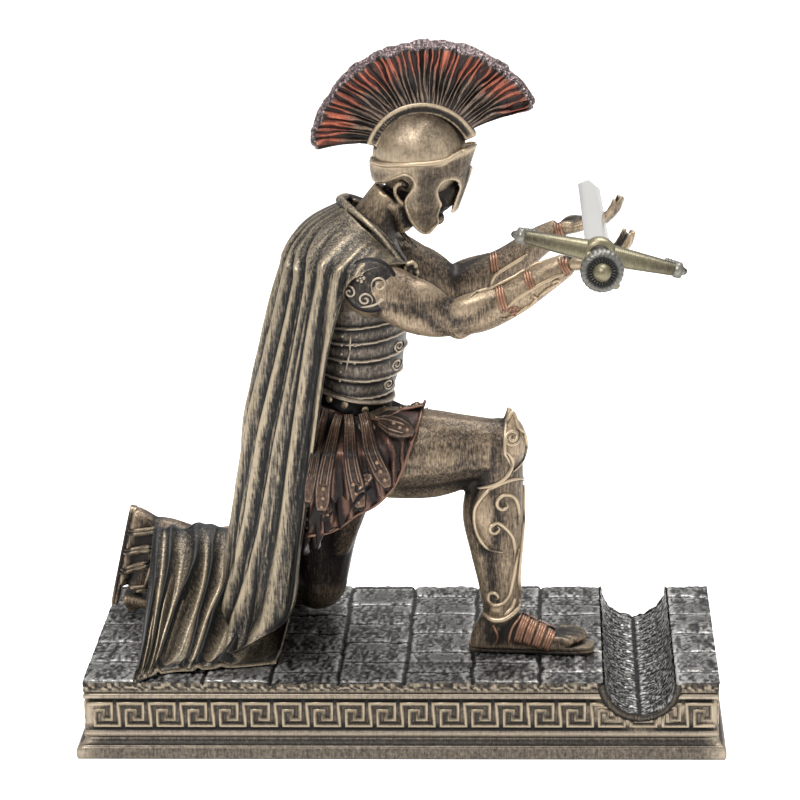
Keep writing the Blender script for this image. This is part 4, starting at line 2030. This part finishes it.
straps = []
for ends in NEAR_STRAPS:
    straps += band_of_lines(NEAR_SKIN, spaced(ends, 7), 3, 0.75, 0.95)
for ends in FAR_STRAPS:
    straps += band_of_lines(INNER_FAR, spaced(ends, 7), 3, 0.75, 0.95)
straps.append(studs("buckle", NEAR_SKIN, [(31.2, 98.4), (31.6, 99.8), (30.4, 99.4)], 1.0))
dress(joined("bracer_straps", straps), LEATHER, base=0.35)

sandal = []
for line in SANDAL_STRAPS[:4]:
    bent = [tuple(p) for p in smooth_line([Vector(p) for p in line], 4)]
    for side in (-1, 1):
        sandal += band_of_lines(NEAR_SKIN, bent, 3, 0.7, 1.0, side)
for line in SANDAL_STRAPS[4:]:
    sandal.append(raised_line("s", NEAR_SKIN, line, 0.9))
sandal.append(studs("s", NEAR_SKIN, LACING, 1.05, -1, 0.9))
sandal.append(studs("s", NEAR_SKIN, [(x + 0.8, z - 0.1) for x, z in LACING], 0.9, 1, 0.9))
dress(joined("sandal_straps", sandal), LEATHER, base=0.1)
rear = [raised_line("s", INNER_FAR, [(-76.0, 6.0), (-73.8, 12.0), (-71.6, 19.0), (-70.8, 25.0)], 1.4)]
for x, z, rise in ((-83.4, 7.0, 1.0), (-82.2, 12.6, 3.0), (-80.8, 18.4, 1.6), (-79.6, 24.2, 0.6)):
    rear += band_of_lines(INNER_FAR, spaced([(x, z), (x + 9.0, z + rise)], 8), 2, 1.0, 1.4)
dress(joined("rear_sandal", rear), SOLE, base=0.15)

# %% [markdown]
# ## The sword
#
# A steel blade with a flat ridge on each side, and a brass hilt: ribbed grip, cross guard
# with round ends, and a fluted disc for a pommel. All but the guard is turned work, so it
# comes from profiles. It is built along Y from its guard and laid on the palms as in the
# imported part.

# %%
BLADE_LENGTH = 104.0 * MM
BLADE_WIDTH = 7.2 * MM
BLADE_THICKNESS = 1.7 * MM
BLADE_POINT = 9.0 * MM
GUARD_SPAN = 46.6 * MM
GUARD_WAIST = 7.4 * MM
GUARD_TIP = 4.2 * MM
GUARD_REACH = 0.86
GRIP_LENGTH = 19.0 * MM
GRIP_RADIUS = 2.6 * MM
POMMEL_RADIUS = 5.6 * MM
POMMEL_FLUTES = 26
FERRULE_PROFILE = ((2.6, 4.4), (1.0, 4.6), (-0.4, 4.3), (-1.4, 3.6))
DISC_PROFILE = (
    (0.9, 0.4), (0.6, 0.72), (-0.4, 0.9), (-1.6, 1.0), (-2.8, 1.0), (-3.8, 0.92),
    (-4.3, 0.78), (-4.2, 0.6), (-4.1, 0.42),
)
BOSS_PROFILE = ((-3.9, 2.5), (-4.9, 2.4), (-5.9, 2.0), (-6.7, 1.3), (-7.1, 0.4))


# %%
def laid_on_palms(piece):
    place = Matrix.Translation(at(53.6, -33.5, 116.9))
    for axis, degrees in (("Z", 1.0), ("X", -1.4), ("Y", 13.0)):
        place = place @ Matrix.Rotation(math.radians(degrees), 4, axis)
    piece.matrix_world = place
    return applied(piece)


def blade():
    rings = []
    shoulder = BLADE_LENGTH - BLADE_POINT
    edge = 0.12 * MM
    for y, share in (
        (-3.0 * MM, 1.0), (0.0, 1.0), (0.35 * shoulder, 0.94), (shoulder, 0.9),
        (BLADE_LENGTH - 0.3 * BLADE_POINT, 0.42), (BLADE_LENGTH, 0.05),
    ):
        w = BLADE_WIDTH / 2 * share
        t = BLADE_THICKNESS / 2 * (0.4 + 0.6 * share)
        side = [(-w, -edge), (-0.45 * w, -t), (-0.2 * w, -0.82 * t)]
        side += [(-x, z) for x, z in side[::-1]]
        rings.append([(x, y, z) for x, z in side] + [(x, y, -z) for x, z in side[::-1]])
    made = closed_loft("blade", rings)
    made.data.shade_flat()
    return made


# %%
def turned(name, profile, sides=56, flutes=0, depth=0.0):
    """A turned shape about Y from (along, radius) pairs, its radius fluted if asked."""
    rows = []
    for along, radius in profile:
        ring = []
        for i in range(sides):
            a = 2 * math.pi * i / sides
            r = radius * (1 + depth * math.cos(flutes * a))
            ring.append((r * math.cos(a), along, r * math.sin(a)))
        rows.append(ring)
    return closed_loft(name, rows)


def guard_arms():
    """The cross guard: ribbed arms that taper, from a boss in the middle."""
    rings = []
    count = 240
    for i in range(count + 1):
        share = GUARD_REACH * (2 * i / count - 1)
        depth = (GUARD_WAIST + (GUARD_TIP - GUARD_WAIST) * abs(share) / GUARD_REACH) / 2
        depth *= 1.0 + 0.01 * math.cos(2 * math.pi * i / 3)
        ring = []
        for k in range(28):
            a = 2 * math.pi * k / 28
            ca, sa = math.cos(a), math.sin(a)
            ring.append((
                share * GUARD_SPAN / 2, -0.5 * GUARD_WAIST + depth * math.copysign(abs(ca) ** 0.75, ca),
                0.82 * depth * math.copysign(abs(sa) ** 0.75, sa),
            ))
        rings.append(ring)
    return closed_loft("guard", rings)


# %%
def guard_ends():
    made = []
    for out in (-1, 1):
        x0, x1 = out * 0.85 * GUARD_SPAN / 2, out * 0.955 * GUARD_SPAN / 2
        half = 2.15 * MM
        bm = bmesh.new()
        bmesh.ops.create_cube(bm, size=1.0)
        size = Matrix.Diagonal((abs(x1 - x0), 2 * half, 1.7 * half, 1))
        middle = Matrix.Translation(((x0 + x1) / 2, -0.5 * GUARD_WAIST, 0))
        bmesh.ops.transform(bm, matrix=middle @ size, verts=bm.verts)
        bmesh.ops.bevel(bm, geom=bm.edges, offset=0.3 * MM, segments=2, affect="EDGES")
        made.append(bmesh_object("block", bm))
        for reach, radius in ((0.975, 1.3), (1.0, 0.95)):
            x = out * (reach * GUARD_SPAN / 2 - radius * 0.6 * MM)
            spot = Matrix.Translation((x, -0.5 * GUARD_WAIST, 0))
            made.append(pearl("finial", radius * MM, spot, 16, 12))
        for k in range(5):
            x = x0 + out * (k - 2.2) * 0.9 * MM
            spot = Matrix.Translation((x, -0.5 * GUARD_WAIST, (1.9 - 0.1 * k) * MM))
            made.append(pearl("bead", 0.75 * MM, spot))
    return joined("guard_ends", made)


def hilt_brass():
    start = -GUARD_WAIST * 0.8
    end = start - GRIP_LENGTH
    grip = [(start + 1.8 * MM, GRIP_RADIUS)]
    for i in range(49):
        t = i / 48
        swell = 0.11 * math.sin(t * 4 * math.pi) + 0.035 * math.cos(t * 2 * math.pi * 16)
        grip.append((start - GRIP_LENGTH * t, GRIP_RADIUS * (1.02 + swell)))
    ferrule = [(start + out * MM, radius * MM) for out, radius in FERRULE_PROFILE]
    made = [guard_arms(), turned("grip", grip), turned("ferrule", ferrule)]
    disc = [(end + out * MM, share * POMMEL_RADIUS) for out, share in DISC_PROFILE]
    pommel = [turned("disc", disc, 168, POMMEL_FLUTES, 0.014)]
    boss = [(end + out * MM, radius * MM) for out, radius in BOSS_PROFILE]
    made.append(turned("boss", boss, 40))
    for k in range(POMMEL_FLUTES):
        a = 2 * math.pi * (k + 0.5) / POMMEL_FLUTES
        line = []
        for r, out in ((4.6 * MM, 4.25 * MM), (3.6 * MM, 4.35 * MM), (2.6 * MM, 4.45 * MM)):
            line.append(Vector((r * math.cos(a), end - out, r * math.sin(a))))
        pommel.append(tube("flute", line, 0.17 * MM, 6))
    for a in (2.5, -0.6):
        spot = (5.3 * MM * math.cos(a), end - 2.2 * MM, 5.3 * MM * math.sin(a))
        made.append(pearl("knob", 1.05 * MM, Matrix.Translation(spot), 12, 10))
    return joined("hilt", made), joined("pommel", pommel)


# %%
GREY_BRASS = patina("grey_brass", (0.016, 0.016, 0.015), (0.085, 0.082, 0.073), (0.2, 0.193, 0.165))
dress(laid_on_palms(blade()), STEEL, "sword_blade")
HILT, POMMEL = hilt_brass()
dress(laid_on_palms(HILT), BRASS, "sword_hilt", reach=(0.9, 2.0))
dress(laid_on_palms(POMMEL), GREY_BRASS, "sword_hilt", reach=(0.5, 1.2))
dress(laid_on_palms(guard_ends()), GREY_BRASS, "sword_hilt", reach=(0.4, 0.9))


# %% [markdown]
# ## Stage, camera and light
#
# The photograph shows the statue alone on white. The camera is the one that was fitted to
# the corners of the plinth, and soft light comes from above and from the left.

# %%
def stage():
    bm = bmesh.new()
    bmesh.ops.create_grid(bm, x_segments=2, y_segments=2, size=3.0)
    floor = bmesh_object("floor", bm)
    material, shader = new_material("white_floor")
    shader.inputs["Base Color"].default_value = (0.95, 0.95, 0.95, 1)
    shader.inputs["Roughness"].default_value = 0.6
    shader.inputs["Emission Color"].default_value = (1, 1, 1, 1)
    shader.inputs["Emission Strength"].default_value = 0.42
    floor.data.materials.append(material)
    world = bpy.data.worlds.new("studio")
    bpy.context.scene.world = world
    world.use_nodes = True
    world.node_tree.nodes["Background"].inputs["Color"].default_value = (1, 1, 1, 1)
    world.node_tree.nodes["Background"].inputs["Strength"].default_value = 0.6


# %%
def area_light(name, place, target, size, power, size_y=None):
    data = bpy.data.lights.new(name, "AREA")
    data.energy = power
    data.shape = "RECTANGLE"
    data.size = size
    data.size_y = size_y or size
    light = bpy.data.objects.new(name, data)
    bpy.context.scene.collection.objects.link(light)
    light.location = place
    light.rotation_mode = "QUATERNION"
    light.rotation_quaternion = (Vector(target) - Vector(place)).to_track_quat("-Z", "Y")
    return light


FOCAL_MM = 160.7
CAMERA_PLACE = Vector((41.2, -952.0, 343.0)) * MM
CAMERA_YAW = 2.522
CAMERA_PITCH = 14.93
CAMERA_ROLL = -0.79


def camera():
    data = bpy.data.cameras.new("camera")
    data.sensor_width = 36.0
    data.lens = FOCAL_MM
    data.clip_end = 20
    made = bpy.data.objects.new("camera", data)
    bpy.context.scene.collection.objects.link(made)
    aim = Matrix.Rotation(math.radians(CAMERA_YAW), 4, "Z")
    aim = aim @ Matrix.Rotation(math.radians(90 - CAMERA_PITCH), 4, "X")
    aim = aim @ Matrix.Rotation(math.radians(CAMERA_ROLL), 4, "Z")
    made.matrix_world = Matrix.Translation(CAMERA_PLACE) @ aim
    bpy.context.scene.camera = made


# %%
stage()
camera()
area_light("key", (-0.3, -0.55, 0.95), (0, 0, 0.1), 0.45, 8)
area_light("fill", (0.9, -0.6, 0.4), (0, 0, 0.1), 0.6, 1.5)
area_light("top", (0.15, 0.25, 1.0), (0, 0, 0.1), 0.6, 12)
bpy.context.scene.view_settings.view_transform = "Standard"
